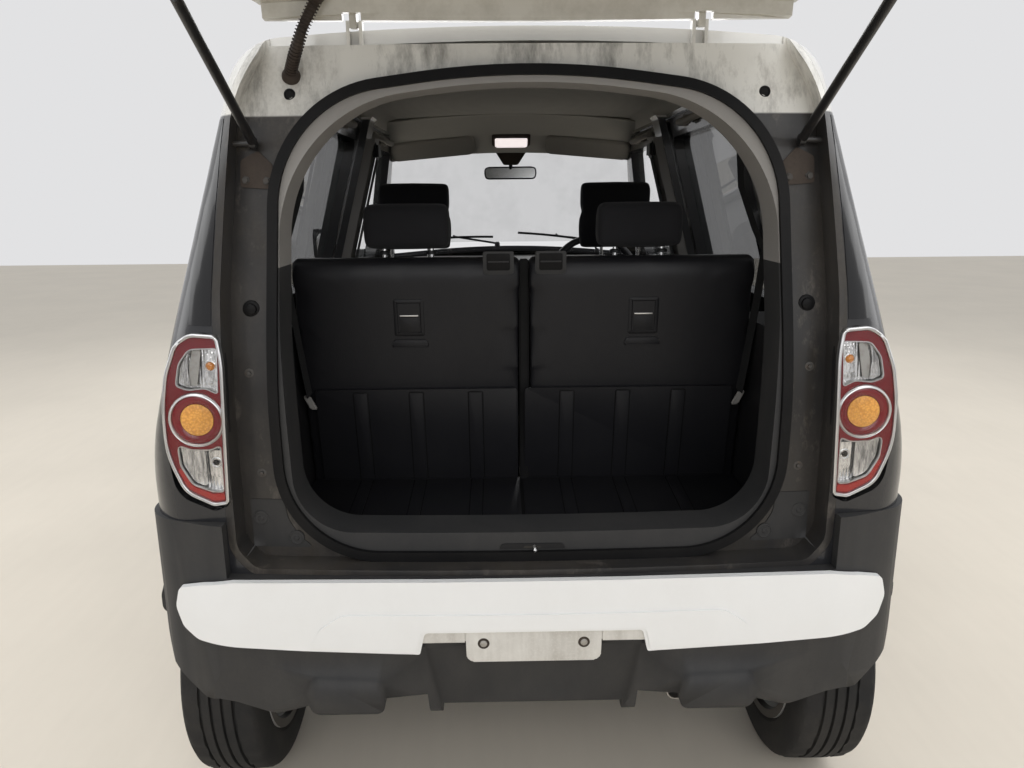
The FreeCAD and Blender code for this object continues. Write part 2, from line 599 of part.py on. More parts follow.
def make_nose():
    """Hood, cowl, wings, grille, lamps and front bumper, cut from the nose shell."""
    shell = NOSE.cut(NOSE_INNER)
    hood_line = [(HOOD_HALF, HOOD_REAR_Y, 30), (598, 3240, 60), (0, 3420, 1400)]
    hood_plan = [(u, v, r) for u, v, r in hood_line] + [(-598, 3240, 60), (-HOOD_HALF, HOOD_REAR_Y, 30)]
    hood = shell.common(prism(hood_plan, "Z", HOOD_EDGE_Z, 1300))
    hood = fused(hood, hood_hinge_arm(), flip(hood_hinge_arm()))
    cowl = nose(COWL_DROP).cut(NOSE_INNER)
    cowl = cowl.common(box(-556, 556, FIREWALL_Y + 20, HOOD_REAR_Y - 8, 1000, 1300))
    notch = box(HOOD_HINGE_X - 14, HOOD_HINGE_X + 14, HOOD_HINGE_Y - 12, HOOD_REAR_Y, 1000, 1300)
    cowl = cowl.cut(cabin(-6, 0)).cut(notch).cut(flip(notch))
    clear = prism(inset(hood_plan, -SHUT - 1), "Z", HOOD_EDGE_Z - 4, 1300)
    wing = shell.common(box(300, 900, FRONT_DOOR_Y + SHUT + 4, 3236, SILL_TOP_Z, NOSE_SHOULDER_Z + 40))
    wing = wing.cut(clear).cut(box(0, 600, 2300, 3400, 0, 1200)).cut(FRONT_BITE)
    bumper_side = [(3070, 200, 0), (3070, 480, 0), (3236.3, 700, 0), (3500, 700, 0), (3500, 200, 0)]
    bumper_room = prism(bumper_side, "X", -900, 900)
    wing = wing.cut(bumper_room)
    wing = wing.cut(OUTER.common(box(0, 900, 2300, 3000, 1000, 2000)))
    bumper = shell.common(bumper_room).cut(FRONT_BITE).cut(flip(FRONT_BITE))
    bumper = bumper.common(box(-900, 900, 3000, 3500, BASE_Z, 699.7))
    panel = shell.common(box(-900, 900, 3236.3, 3500, 700, HOOD_EDGE_Z - 4.3)).cut(clear)
    slot_room = []
    for i in range(5):
        x0 = -370 + i * 150
        slot_room.append(prism([(x0, GRILLE_FOOT_Z + 40, 12), (x0, GRILLE_TOP_Z - 40, 12),
                                (x0 + 140, GRILLE_TOP_Z - 40, 12), (x0 + 140, GRILLE_FOOT_Z + 40, 12)],
                               "Y", 3200, 3500))
    panel = panel.cut(Part.makeCompound(slot_room))
    lamp = nose(-LAMP_PROUD).cut(nose(NOSE_WALL + 20)).common(
        rod(LAMP_R, (LAMP_X, 3200, LAMP_Z), (LAMP_X, 3450, LAMP_Z)))
    hole = rod(LAMP_R + SEAT_GAP, (LAMP_X, 3200, LAMP_Z), (LAMP_X, 3450, LAMP_Z))
    panel = panel.cut(hole).cut(flip(hole))
    garnish_line = both([(470, 290, 20), (560, 340, 30), (580, 500, 30), (520, 520, 20), (440, 400, 40)])
    garnish = prism(garnish_line, "Y", 3200, 3500)
    skin = nose(-10).cut(nose(-SEAT_GAP))
    garnish = skin.common(garnish)
    for x in (-PLATE_HOLE_X, PLATE_HOLE_X):
        bumper = bumper.cut(rod(PLATE_HOLE_R, (x, 3300, FRONT_PLATE_Z), (x, 3450, FRONT_PLATE_Z)))
    return {"hood": solids(hood), "cowl_panel": solids(cowl), "front_fenders": pair(solids(wing)),
            "front_bumper": solids(bumper), "grille": solids(panel), "headlamps": pair(solids(lamp)),
            "front_garnish": solids(garnish)}


def bumper_block(depth):
    """Outer form of the rear bumper, set in by depth."""
    side = prism(inset(BUMPER_SIDE, depth), "X", -900, 900)
    return side.common(prism(inset(BUMPER_PLAN, depth), "Z", 0, 900))


def bumper_layer(low, high):
    """Layer of the rear bumper between two depths under its surface."""
    return bumper_block(low).cut(bumper_block(high))


def seen_behind(outline):
    """Outline seen from behind, through the rear bumper."""
    return prism(outline, "Y", -50, 200)


def make_rear_end():
    """Rear bumper with its shoulders and plate seat, its white garnish, and the lamps."""
    wall_room = prism(inset(BUMPER_PLAN, BUMPER_WALL), "Z", 0, 722)
    bumper = bumper_layer(0, BUMPER_WALL).cut(wall_room.common(box(-900, 900, 150, 500, 0, 722)))
    bumper = bumper.common(box(-900, 900, -50, 171.7, 300, 751.7))
    bumper = bumper.cut(box(-548.3, 548.3, -50, 300, 651.7, 800))
    foot = [(900, 300, 0), (900, 900, 0), (-900, 900, 0), (-900, 300, 0), (-600, 395, 30), (-561, 384, 20),
            (-491, 350, 20), (-432, 369, 20), (-200, 395, 0), (-197, 339, 8), (197, 339, 8), (200, 395, 0),
            (432, 369, 20), (491, 350, 20), (561, 384, 20), (600, 395, 30)]
    bumper = bumper.common(prism(foot, "Y", -50, 300))
    pad = bumper_layer(-9, 20).common(seen_behind(PAD))
    bumper = fused(bumper, pad, flip(pad)).cut(REAR_BITE).cut(flip(REAR_BITE))
    seat_room = seen_behind(inset(both(PLATE_SEAT), -SEAT_GAP)).common(box(-300, 300, -50, 200, 513.7, 600))
    sunk = fused(seen_behind(both(CENTRE_PANEL)), seat_room)
    bumper = bumper.cut(bumper_layer(-30, PLATE_DEPTH).common(sunk))
    strip = seen_behind(both(GARNISH)).cut(seen_behind(both(PLATE_SEAT)))
    garnish = bumper_layer(-GARNISH_PROUD, -SEAT_GAP).common(strip)
    step = bumper_layer(-GARNISH_PROUD - 3, -2).common(seen_behind(both(GARNISH_STEP))).common(strip)
    rim = seen_behind(both(PLATE_SEAT)).cut(seen_behind(inset(both(PLATE_SEAT), 3)))
    rim = rim.common(bumper_layer(-GARNISH_PROUD, PLATE_DEPTH - 1)).common(box(-300, 300, -50, 200, 514, 600))
    tab = bumper_layer(PLATE_DEPTH - 5, PLATE_DEPTH - SEAT_GAP).common(seen_behind(both(PLATE_TAB)))
    garnish = fused(garnish, step, rim, tab)
    holes = []
    for x in (-PLATE_HOLE_X, PLATE_HOLE_X):
        holes.append(rod(PLATE_HOLE_R, (x, -20, PLATE_HOLE_Z), (x, 70, PLATE_HOLE_Z)))
    holes = Part.makeCompound(holes)
    lamp = cabin(-9, -9).cut(cabin(60, 60)).common(tail_lamp(0, -100, 172))
    return {"rear_bumper": solids(bumper.cut(holes)), "rear_garnish": solids(garnish.cut(holes)),
            "tail_lamps": pair(solids(lamp))}


def make_cladding():
    """Wheel-arch flares and sill mouldings on both sides."""
    pieces = []
    for axle, radius in ((REAR_AXLE, ARCH_R), (FRONT_AXLE, FRONT_ARCH_R)):
        edge = [(640, radius, 0), (FLARE_HALF, radius, 10), (FLARE_HALF, radius + 26, 14),
                (716, FLARE_R, 10), (640, FLARE_R, 0)]
        face = Part.Face(ring(edge, lambda u, v: V(u, axle, TYRE_R + v)))
        flare = face.revolve(V(0, axle, TYRE_R), V(1, 0, 0), 360)
        pieces.append(flare.common(box(600, 900, 0, 3500, BASE_Z, 900)))
    rear_end = box(600, 900, 0, 172.3, 0, 900)
    front_end = box(600, 900, 3300, 3500, 0, 900)
    sill = prism([(692, BASE_Z, 0), (716, BASE_Z, 10), (722, SILL_TOP_Z - 20, 14), (700, SILL_TOP_Z, 0),
                  (640, SILL_TOP_Z, 0), (640, BASE_Z, 0)], "Y", REAR_AXLE + 300, FRONT_AXLE - 300)
    sill = sill.cut(REAR_BITE).cut(FRONT_BITE)
    body = fused(OUTER, box(-600, 600, 500, 600, 300, 400))
    cladding = fused(pieces[0], pieces[1], sill).cut(rear_end).cut(front_end)
    cladding = cladding.cut(body).cut(nose(-SEAT_GAP)).cut(box(0, 703, 2300, 2600, 0, 900))
    return {"side_cladding": pair(solids(cladding))}


def make_floor():
    """Floor, firewall, wheelhouses, rails and the rear crossmember as one structure."""
    floor = box(-900, 900, 1050, FIREWALL_Y, BASE_Z, FLOOR_Z)
    floor = floor.fuse(box(-110, 110, 1060, FIREWALL_Y, BASE_Z, 345))
    tunnel = box(-86, 86, 1000, FIREWALL_Y + 50, 0, 320)
    riser = box(-900, 900, 1050, 1080, BASE_Z, REAR_FLOOR_Z)
    rear = box(-900, 900, 150, 1080, REAR_FLOOR_Z - 30, REAR_FLOOR_Z)
    back = box(-600, 600, 175, 200, 400, BOARD_Z)
    cowl = box(-556, 556, FIREWALL_Y - 25, HOOD_REAR_Y - 14, 1000, 1032)
    firewall = box(-900, 900, FIREWALL_Y - 25, FIREWALL_Y, BASE_Z, 1000)
    inside = fused(floor, riser, rear, back, firewall).cut(tunnel)
    house = wheel_bar(REAR_AXLE, ARCH_R + 14, 516, 640)
    hollow = wheel_bar(REAR_AXLE, ARCH_R, 530, 700)
    house_top = house.common(box(0, 900, 0, 1000, REAR_FLOOR_Z - 30, 900))
    inside = fused(inside, house_top, flip(house_top)).cut(hollow).cut(flip(hollow)).common(LINING)
    rail = box(320, 380, FIREWALL_Y - 1, 3290, 430, 520)
    apron = box(380, 392, FIREWALL_Y - 1, 3240, 430, 700)
    liner = wheel_bar(FRONT_AXLE, FRONT_ARCH_R + 10, 380, 660).cut(wheel_bar(FRONT_AXLE, FRONT_ARCH_R, 392, 800))
    liner = liner.common(box(0, 900, 2300, 3500, 430, 800))
    tower = rod(66, *king_points(600, 872)).cut(rod(56, *king_points(500, 860)))
    tower = tower.common(box(0, 900, 2300, 3500, 560, 900)).cut(wheel_bar(FRONT_AXLE, FRONT_ARCH_R, 392, 800))
    liner = liner.cut(rod(56, *king_points(500, 860)))
    front = fused(rail, apron, liner, tower, cowl).cut(NOSE.cut(nose(NOSE_WALL + SEAT_GAP)))
    front = fused(front, hood_hinge_ears())
    return {"floor_pan": solids(fused(inside, front, flip(front)))}


def king_points(low, high):
    """Two points of the right wheel's steering axis, by their heights."""
    run = (KING_HEAD[0] - KING_FOOT[0]) / (KING_HEAD[1] - KING_FOOT[1])
    points = []
    for z in (low, high):
        points.append((KING_FOOT[0] + run * (z - KING_FOOT[1]), FRONT_AXLE, z))
    return points


def make_running_gear():
    """Knuckles, front subframe with arms and springs, rear axle, tank and exhaust."""
    block = box(578, 602, FRONT_AXLE - 45, FRONT_AXLE + 45, TYRE_R - 110, TYRE_R + 110)
    clamp = box(528, 590, FRONT_AXLE - 22, FRONT_AXLE + 22, 372, 398)
    stub = rod(24, (600, FRONT_AXLE, TYRE_R), (620 - SEAT_GAP, FRONT_AXLE, TYRE_R))
    damper = rod(20, *king_points(380, SPRING_FOOT_Z - SEAT_GAP))
    boss = rod(14, *king_points(BALL_SEAT_Z, BALL_SEAT_Z + 24))
    knuckle = fused(block, clamp, stub, damper, boss)
    spring = rod(46, *king_points(SPRING_FOOT_Z + 10, 860 - SEAT_GAP)).cut(box(0, 900, 2500, 3200, 0, SPRING_FOOT_Z))
    spring = spring.common(box(0, 900, 2500, 3200, SPRING_FOOT_Z, 880))
    arm = prism([(250, FRONT_AXLE - 90, 10), (250, FRONT_AXLE + 90, 10), (ARM_END_X, FRONT_AXLE + 16, 14),
                 (ARM_END_X, FRONT_AXLE - 16, 14)], "Z", 150, 170)
    arm = arm.fuse(rod(11, *king_points(BALL_SEAT_Z - 20, BALL_SEAT_Z - SEAT_GAP)))
    cross = box(-260, 260, FRONT_AXLE - 100, FRONT_AXLE + 100, 160, 240)
    hanger = box(330, 370, FRONT_AXLE - 60, FRONT_AXLE + 60, 165, 430 - SEAT_GAP)
    frame = fused(cross, arm, flip(arm), hanger, flip(hanger))
    beam = rod(34, (-520, 560, 275), (520, 560, 275))
    trail = prism([(430, 260, 20), (430, 320, 20), (880, 350, 20), (880, 300, 20)], "X", 480, 512)
    axle = rod(24, (490, REAR_AXLE, TYRE_R), (620 - SEAT_GAP, REAR_AXLE, TYRE_R))
    coil = rod(50, (440, 560, 290), (440, 560, REAR_FLOOR_Z - 30 - SEAT_GAP))
    bush = rod(26, (470, 860, 325), (520, 860, 325))
    mount = box(485, 505, 840, 880, 330, REAR_FLOOR_Z - 30 - SEAT_GAP)
    rear = fused(beam, trail, flip(trail), axle, flip(axle), coil, flip(coil), bush, flip(bush),
                 mount, flip(mount))
    tank = prism([(-340, 660, 40), (340, 660, 40), (340, 1040, 40), (-340, 1040, 40)], "Z", 262,
                 REAR_FLOOR_Z - 30 - SEAT_GAP)
    pipe = rod(22, (0, 2640, 285), (0, 1100, 285))
    low_z = 212
    cross_pipe = rod(22, (0, 1110, 285), (0, 1110, low_z)).fuse(rod(22, (0, 1110, low_z), (0, 400, low_z)))
    silencer = prism([(290, 310, 30), (290, 440, 60), (420, 440, 60), (420, 310, 60)], "X", -60, 330)
    silencer = silencer.cut(box(-900, 900, 0, 900, REAR_FLOOR_Z - 30 - SEAT_GAP, 900))
    riser = rod(22, (0, 410, low_z), (0, 380, 340))
    hanger = box(120, 140, 366, 384, 430, REAR_FLOOR_Z - 30 - SEAT_GAP)
    tip = rod(20, (300, 320, 350), (300, 150, 318)).cut(rod(17, (300, 250, 336.8), (300, 140, 316.1)))
    exhaust = fused(pipe, cross_pipe, riser, silencer, tip, hanger)
    engine = box(-290, 290, 2640, 3080, 300, 800)
    knuckles = {"knuckle_right": knuckle, "knuckle_left": flip(knuckle)}
    rest = {"front_subframe": Part.makeCompound([frame, spring, flip(spring)]), "rear_axle": rear,
            "fuel_tank": tank, "exhaust": exhaust,
            "engine_block": engine}
    return {**knuckles, **rest}


RIM_SECTION = [(-78, 205), (-78, 186), (-66, 181), (18, 177), (28, 150), (36, 90), (26, 62), (-25, 60),
               (-25, 0), (44, 0), (44, 40), (40, 62), (46, 90), (40, 152), (44, 178), (68, 184),
               (78, 190), (78, 205), (71, 205), (71, RIM_R), (-71, RIM_R), (-71, 205)]
TYRE_SECTION = [(-70, 193), (-70, 206), (-79, 212), (-82.5, 246), (-74, 279), (-56, TYRE_R),
                (56, TYRE_R), (74, 279), (82.5, 246), (79, 212), (70, 206), (70, 193)]


def make_wheels():
    """Four tyres and their pressed steel rims."""
    pieces = {}
    for place, axle in (("front", FRONT_AXLE), ("rear", REAR_AXLE)):
        for side, sense in (("right", 1), ("left", -1)):
            for name, section in (("tyre", TYRE_SECTION), ("rim", RIM_SECTION)):
                points = [V(sense * (TRACK_HALF + x), axle, TYRE_R + r) for x, r in section]
                face = Part.Face(Part.makePolygon(points + points[:1]))
                piece = face.revolve(V(0, axle, TYRE_R), V(1, 0, 0), 360)
                if name == "rim":
                    for i in range(10):
                        angle = math.radians(36 * i)
                        y = axle + 122 * math.cos(angle)
                        z = TYRE_R + 122 * math.sin(angle)
                        ends = sorted((sense * (TRACK_HALF + 10), sense * (TRACK_HALF + 70)))
                        piece = piece.cut(rod(15, (ends[0], y, z), (ends[1], y, z)))
                pieces["%s_%s_%s" % (name, place, side)] = piece
    return pieces


def make_cabin():
    """Seats, seat-back panels, luggage board, dashboard and steering wheel."""
    front = []
    for x in (-345, 345):
        cushion = prism([(1500, 470, 60), (1490, 590, 50), (1960, 620, 60), (1970, 480, 60)], "X", x - 240, x + 240)
        back = prism([(1535, 545, 20), (1440, 545, 30), (1316, 1120, 40), (1400, 1140, 40)], "X", x - 220, x + 220)
        head = prism([(1325, 1150, 30), (1292, 1350, 40), (1376, 1360, 40), (1396, 1160, 30)], "X", x - 112, x + 112)
        posts = box(x - 70, x - 58, 1340, 1356, 1100, 1200).fuse(box(x + 58, x + 70, 1340, 1356, 1100, 1200))
        rails = [box(x + side, x + side + 30, 1540, 1900, FLOOR_Z + SEAT_GAP, 500) for side in (-200, 170)]
        front.append(fused(cushion, back, head, posts, *rails))
    rear = []
    for x in (-252, 252):
        foot_z = REAR_FLOOR_Z + SEAT_GAP
        cushion = prism([(530, foot_z, 10), (520, 620, 20), (1010, 640, 50), (1020, foot_z, 40)], "X", x - 246, x + 246)
        back = prism([(508, 600, 10), (452, 905, 0), (420, 1196, 24), (520, 1190, 50), (600, 600, 20)],
                     "X", x - 246, x + 246)
        head = prism([(462, 1206, 22), (455, 1291, 30), (526, 1293, 32), (540, 1208, 26)], "X", x - 97, x + 97)
        posts = [box(x + dx - 5, x + dx + 5, 490, 500, 1150, 1250) for dx in (-52, 52)]
        rear.append(fused(cushion, back, head, *posts))
    panels = []
    for x in (-252, 252):
        panels.append(prism([(489.5, BOARD_Z + SEAT_GAP, 0), (443, 898, 3), (453, 896, 3),
                             (499.5, BOARD_Z + SEAT_GAP, 0)], "X", x - 240, x + 240))
    board = box(-498, 498, 200.3, 500, BOARD_Z - 18, BOARD_Z)
    stand = box(-480, 480, 440, 470, REAR_FLOOR_Z + SEAT_GAP, BOARD_Z - 18)
    dash = prism([(2399, 600, 0), (2399, 1035, 0), (2330, 1045, 40), (2050, 1000, 60), (2010, 900, 40),
                  (2120, 640, 60), (2240, 600, 30)], "X", -900, 900)
    dash = dash.common(cabin(LEAF_DEPTH + 1, 400))
    wheel = Part.makeTorus(172, 14, V(340, 1960, 985), V(0, -1, 0.42))
    hub = rod(60, (340, 1962, 984), (340, 1982, 975.6))
    spoke = box(180, 500, 1966, 1978, 962, 990)
    column = rod(26, (340, 1978, 977), (340, 2060, 943))
    wheel = fused(wheel, spoke, hub, column)
    return {"front_seats": Part.makeCompound(front), "rear_seats": Part.makeCompound(rear),
            "seat_panels": Part.makeCompound(panels), "luggage_board": fused(board, stand),
            "dashboard": solids(dash.cut(column)), "steering_wheel": wheel}


def build():
    """All pieces by node name, in the car's stations."""
    pieces = {}
    for make in (make_body, make_lining, make_glass, make_doors, make_gate, make_struts, make_nose,
                 make_rear_end, make_cladding, make_floor, make_running_gear, make_wheels, make_cabin):
        pieces.update(make())
    return pieces


PIECES = build()
WHOLE = Part.makeCompound(list(PIECES.values())).optimalBoundingBox()
SHIFT = V(0, -(WHOLE.YMin + WHOLE.YMax) / 2, 0)

os.makedirs("parts", exist_ok=True)
for node, shape in PIECES.items():
    placed = shape.copy()
    placed.translate(SHIFT)
    if not placed.Solids or not placed.isValid():
        print("check", node, len(placed.Solids), placed.isValid())
    placed.exportStep("parts/%s.step" % node)
print("nodes", len(PIECES), "stations moved by", round(SHIFT.y, 3), "in Y; box",
      [round(v, 1) for v in (WHOLE.XMin, WHOLE.XMax, WHOLE.YMin, WHOLE.YMax, WHOLE.ZMin, WHOLE.ZMax)])
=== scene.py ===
"""Kei car with its tailgate open: finishes, lamps, seats, trim and studio for the CAD frame."""

import json
import logging
import math
from collections.abc import Callable, Iterable, Sequence
from dataclasses import dataclass
from enum import Enum

import bmesh
import bpy
from mathutils import Matrix, Vector
from mathutils.bvhtree import BVHTree

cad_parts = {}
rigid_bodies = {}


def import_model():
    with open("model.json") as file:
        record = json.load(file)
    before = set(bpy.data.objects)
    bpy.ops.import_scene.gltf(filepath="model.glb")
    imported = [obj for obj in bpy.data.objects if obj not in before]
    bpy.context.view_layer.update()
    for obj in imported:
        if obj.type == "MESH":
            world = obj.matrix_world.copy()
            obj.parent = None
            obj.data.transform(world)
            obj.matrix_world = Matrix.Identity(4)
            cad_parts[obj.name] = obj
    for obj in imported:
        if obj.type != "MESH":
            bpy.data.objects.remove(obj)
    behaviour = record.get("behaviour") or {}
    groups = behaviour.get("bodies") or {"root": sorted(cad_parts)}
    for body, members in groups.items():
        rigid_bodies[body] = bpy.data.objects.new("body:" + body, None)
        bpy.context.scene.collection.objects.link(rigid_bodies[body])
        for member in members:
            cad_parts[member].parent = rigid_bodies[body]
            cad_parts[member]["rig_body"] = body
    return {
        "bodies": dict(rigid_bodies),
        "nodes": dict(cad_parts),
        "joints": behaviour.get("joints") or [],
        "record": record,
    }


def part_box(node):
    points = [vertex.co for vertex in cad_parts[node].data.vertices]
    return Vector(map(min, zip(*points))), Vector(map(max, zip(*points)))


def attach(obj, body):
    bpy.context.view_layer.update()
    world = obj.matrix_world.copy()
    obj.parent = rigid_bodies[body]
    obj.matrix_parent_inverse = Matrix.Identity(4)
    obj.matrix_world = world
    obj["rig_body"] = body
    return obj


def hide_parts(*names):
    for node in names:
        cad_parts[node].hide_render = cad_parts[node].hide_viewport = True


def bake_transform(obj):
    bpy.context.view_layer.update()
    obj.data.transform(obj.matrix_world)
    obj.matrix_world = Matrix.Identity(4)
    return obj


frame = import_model()

LOG = logging.getLogger("kei_car")
Point = tuple[float, float, float]
Pair = tuple[float, float]
Colour = tuple[float, float, float]
Outline = tuple[tuple[float, float, float], ...]
Place = Callable[[float, float, float], Vector]
NamedTree = tuple[bpy.types.NodeTree, dict[str, str]]
ACROSS = Vector((1, 0, 0))
AHEAD = Vector((0, 1, 0))
BACK = Vector((0, -1, 0))
UP = Vector((0, 0, 1))
REAR_AXLE_STATION = 440.0


def axle_shift() -> float:
    """Return how far the CAD's Y lies from the car's own stations, in metres."""
    low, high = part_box("rim_rear_right")
    return (low.y + high.y) / 2 - REAR_AXLE_STATION / 1000


SHIFT_Y = axle_shift()


def at(x: float, y: float, z: float) -> Vector:
    """Return a point of the CAD frame in metres.

    Args:
        x: Station to the car's right, in millimetres.
        y: Station ahead of the rear bumper's face, in millimetres.
        z: Height above the ground, in millimetres.

    Returns:
        The point in the row frame.
    """
    return Vector((x / 1000, y / 1000 + SHIFT_Y, z / 1000))


class Side(Enum):
    """A side of the car, with the sign of its X."""

    RIGHT = 1
    LEFT = -1

    @property
    def word(self) -> str:
        """Return the side's name as the nodes use it."""
        return self.name.lower()


class Shader:
    """Short way to a Principled material with procedural nodes."""

    def __init__(self, name: str) -> None:
        """Start a material whose patterns read Object coordinates."""
        self.material = bpy.data.materials.new(name)
        self.material.use_nodes = True
        self.tree = self.material.node_tree
        self.surface = self.tree.nodes["Principled BSDF"]
        coordinates = self.tree.nodes.new("ShaderNodeTexCoord")
        self.where = coordinates.outputs["Object"]
        self.normal = coordinates.outputs["Normal"]

    def node(self, kind: str, **inputs: object) -> bpy.types.Node:
        """Add a node and fill its inputs by name, with underscores for spaces."""
        made = self.tree.nodes.new("ShaderNode" + kind)
        for name, value in inputs.items():
            self.plug(made.inputs[name.replace("_", " ")], value)
        return made

    def plug(self, socket: bpy.types.NodeSocket, value: object) -> None:
        """Link a socket's value, or set it where it is a plain number or colour."""
        if isinstance(value, bpy.types.NodeSocket):
            self.tree.links.new(value, socket)
        elif isinstance(value, tuple) and len(value) == 3 and len(socket.default_value) == 4:
            socket.default_value = (*value, 1.0)
        else:
            socket.default_value = value

    def set(self, **values: object) -> None:
        """Set the shader's own sockets by name, with underscores for spaces."""
        for name, value in values.items():
            self.plug(self.surface.inputs[name.replace("_", " ")], value)

    def noise(self, scale: float, detail: float = 3.0, stretch: Point = (1, 1, 1),
              roughness: float = 0.55) -> bpy.types.NodeSocket:
        """Return a noise value.

        Args:
            scale: Features per metre.
            detail: Octaves of finer noise.
            stretch: Scale along each axis before the noise.
            roughness: Strength of the finer octaves.

        Returns:
            The noise's factor, about 0.5 on average.
        """
        placed = self.node("Mapping", Scale=stretch, Vector=self.where).outputs["Vector"]
        return self.node("TexNoise", Scale=scale, Detail=detail, Roughness=roughness,
                         Vector=placed).outputs["Fac"]

    def cells(self, scale: float) -> bpy.types.NodeSocket:
        """Return the distance to the middle of the nearest grain cell."""
        return self.node("TexVoronoi", Scale=scale, Vector=self.where).outputs["Distance"]

    def waves(self, scale: float, axis: str) -> bpy.types.NodeSocket:
        """Return even bands across one axis."""
        bands = self.node("TexWave", Scale=scale, Distortion=0.0, Vector=self.where)
        bands.bands_direction = axis
        return bands.outputs["Fac"]

    def axis(self, letter: str) -> bpy.types.NodeSocket:
        """Return one Object coordinate."""
        return self.node("SeparateXYZ", Vector=self.where).outputs[letter]

    def facing(self, letter: str) -> bpy.types.NodeSocket:
        """Return one part of the surface's own direction, in Object terms."""
        return self.node("SeparateXYZ", Vector=self.normal).outputs[letter]

    def inward(self) -> bpy.types.NodeSocket:
        """Return 1 where a face looks towards the car's middle plane."""
        return self.ramp(self.calc(self.axis("X"), self.facing("X"), clamp=False), -0.08, -0.12)

    def ramp(self, value: bpy.types.NodeSocket, low: float, high: float) -> bpy.types.NodeSocket:
        """Return a value drawn out to run from 0 at low to 1 at high."""
        return self.node("MapRange", From_Min=low, From_Max=high, Value=value).outputs["Result"]

    def calc(self, first: object, second: object, operation: str = "MULTIPLY",
             clamp: bool = True) -> bpy.types.NodeSocket:
        """Return two values joined by a Math operation, clamped to 0..1 unless clamp is off."""
        made = self.node("Math")
        made.operation = operation
        made.use_clamp = clamp
        self.plug(made.inputs[0], first)
        self.plug(made.inputs[1], second)
        return made.outputs["Value"]

    def mix(self, factor: object, first: object, second: object) -> bpy.types.NodeSocket:
        """Return a colour between two, by a factor."""
        made = self.node("Mix")
        made.data_type = "RGBA"
        for key, value in (("Factor", factor), (6, first), (7, second)):
            self.plug(made.inputs[key], value)
        return made.outputs[2]

    def bump(self, height: bpy.types.NodeSocket, depth: float, strength: float = 1.0) -> None:
        """Raise the surface by a height pattern, depth in millimetres."""
        made = self.node("Bump", Strength=strength, Distance=depth / 1000, Height=height)
        last = self.surface.inputs["Normal"]
        if last.is_linked:
            self.plug(made.inputs["Normal"], last.links[0].from_socket)
        self.plug(last, made.outputs["Normal"])


@dataclass(frozen=True)
class Paint:
    """Gloss car paint, with dust in soft patches."""

    name: str
    colour: Colour
    dust: Colour = (0.22, 0.2, 0.17)
    dust_share: float = 0.25
    roughness: float = 0.22
    coat: float = 1.0
    upper: Colour | None = None
    upper_from: float = 1.452
    upper_ahead: float = 1.553
    step_stations: Pair = (0.30, 0.62)
    waist: Pair = (1.058, 1.062)
    lining: Colour | None = None
    lining_above: Colour | None = None
    gloss: float = 0.5
    stains: float = 0.0
    scuffs: float = 0.0

    def make(self) -> bpy.types.Material:
        """Return the paint: the upper colour above its line, the inward colour on faces turned to the car's
        middle.
        """
        shade = Shader(self.name)
        patches = shade.ramp(shade.noise(5.0, 6.0, (1, 1, 0.55), 0.65), 0.42, 0.78)
        specks = shade.ramp(shade.noise(160.0, 3.0), 0.5, 0.72)
        dust = shade.calc(shade.calc(patches, self.dust_share), shade.calc(specks, 0.75, "ADD"))
        base: object = self.colour
        if self.upper is not None:
            height = shade.axis("Z")
            back = shade.ramp(shade.axis("Y"), *(SHIFT_Y + y for y in self.step_stations))
            line_back = shade.ramp(height, self.upper_from - 0.0015, self.upper_from + 0.0015)
            line_ahead = shade.ramp(height, self.upper_ahead - 0.0015, self.upper_ahead + 0.0015)
            away = shade.calc(1.0, back, "SUBTRACT")
            white = shade.calc(shade.calc(line_back, away), shade.calc(line_ahead, back), "ADD")
            base = shade.mix(white, self.colour, self.upper)
        if self.lining is not None:
            inside: object = self.lining
            if self.lining_above is not None:
                high = shade.ramp(shade.axis("Z"), *self.waist)
                inside = shade.mix(high, self.lining, self.lining_above)
            base = shade.mix(shade.inward(), base, inside)
        tint = shade.mix(dust, base, self.dust)
        if self.scuffs:
            # Light patches: partly rubbed paint, partly painted sheen.
            rubbed_and_sheen = shade.ramp(shade.noise(13.0, 7.0, (1, 1, 0.45), 0.74), 0.56, 0.68)
            tint = shade.mix(shade.calc(rubbed_and_sheen, self.scuffs), tint, (0.19, 0.165, 0.14))
        if self.stains:
            runs = shade.ramp(shade.noise(19.0, 6.0, (1, 1, 0.22), 0.72), 0.5, 0.74)
            tint = shade.mix(shade.calc(runs, self.stains), tint, (0.030, 0.025, 0.018))
        shade.set(Base_Color=tint, Coat_Weight=self.coat, Coat_Roughness=0.06,
                  Specular_IOR_Level=self.gloss)
        rough = shade.node("MapRange", To_Min=self.roughness, To_Max=0.75, Value=dust)
        shade.set(Roughness=rough.outputs["Result"])
        shade.bump(shade.noise(420.0, 1.0), 0.012, 0.35)
        return shade.material


@dataclass(frozen=True)
class Moulding:
    """Moulded plastic with fine grain, some wear and dust."""

    name: str
    colour: Colour
    dust: Colour = (0.2, 0.185, 0.165)
    dust_share: float = 0.25
    roughness: float = 0.55
    grain: float = 900.0
    grain_depth: float = 0.12
    streaks: float = 0.0
    gloss: float = 0.25

    def make(self) -> bpy.types.Material:
        """Return the plastic."""
        shade = Shader(self.name)
        patches = shade.ramp(shade.noise(6.0, 7.0, (1, 1, 0.6), 0.68), 0.4, 0.8)
        if self.streaks:
            runs = shade.ramp(shade.noise(30.0, 4.0, (1, 1, 0.05)), 0.42, 0.75)
            patches = shade.calc(patches, shade.calc(runs, self.streaks), "ADD")
        fine = shade.ramp(shade.noise(240.0, 2.0), 0.35, 0.8)
        dust = shade.calc(shade.calc(patches, self.dust_share), shade.calc(fine, 0.7, "ADD"))
        shade.set(Base_Color=shade.mix(dust, self.colour, self.dust), Roughness=self.roughness,
                  Specular_IOR_Level=self.gloss)
        shade.bump(shade.cells(self.grain), self.grain_depth, 0.5)
        return shade.material


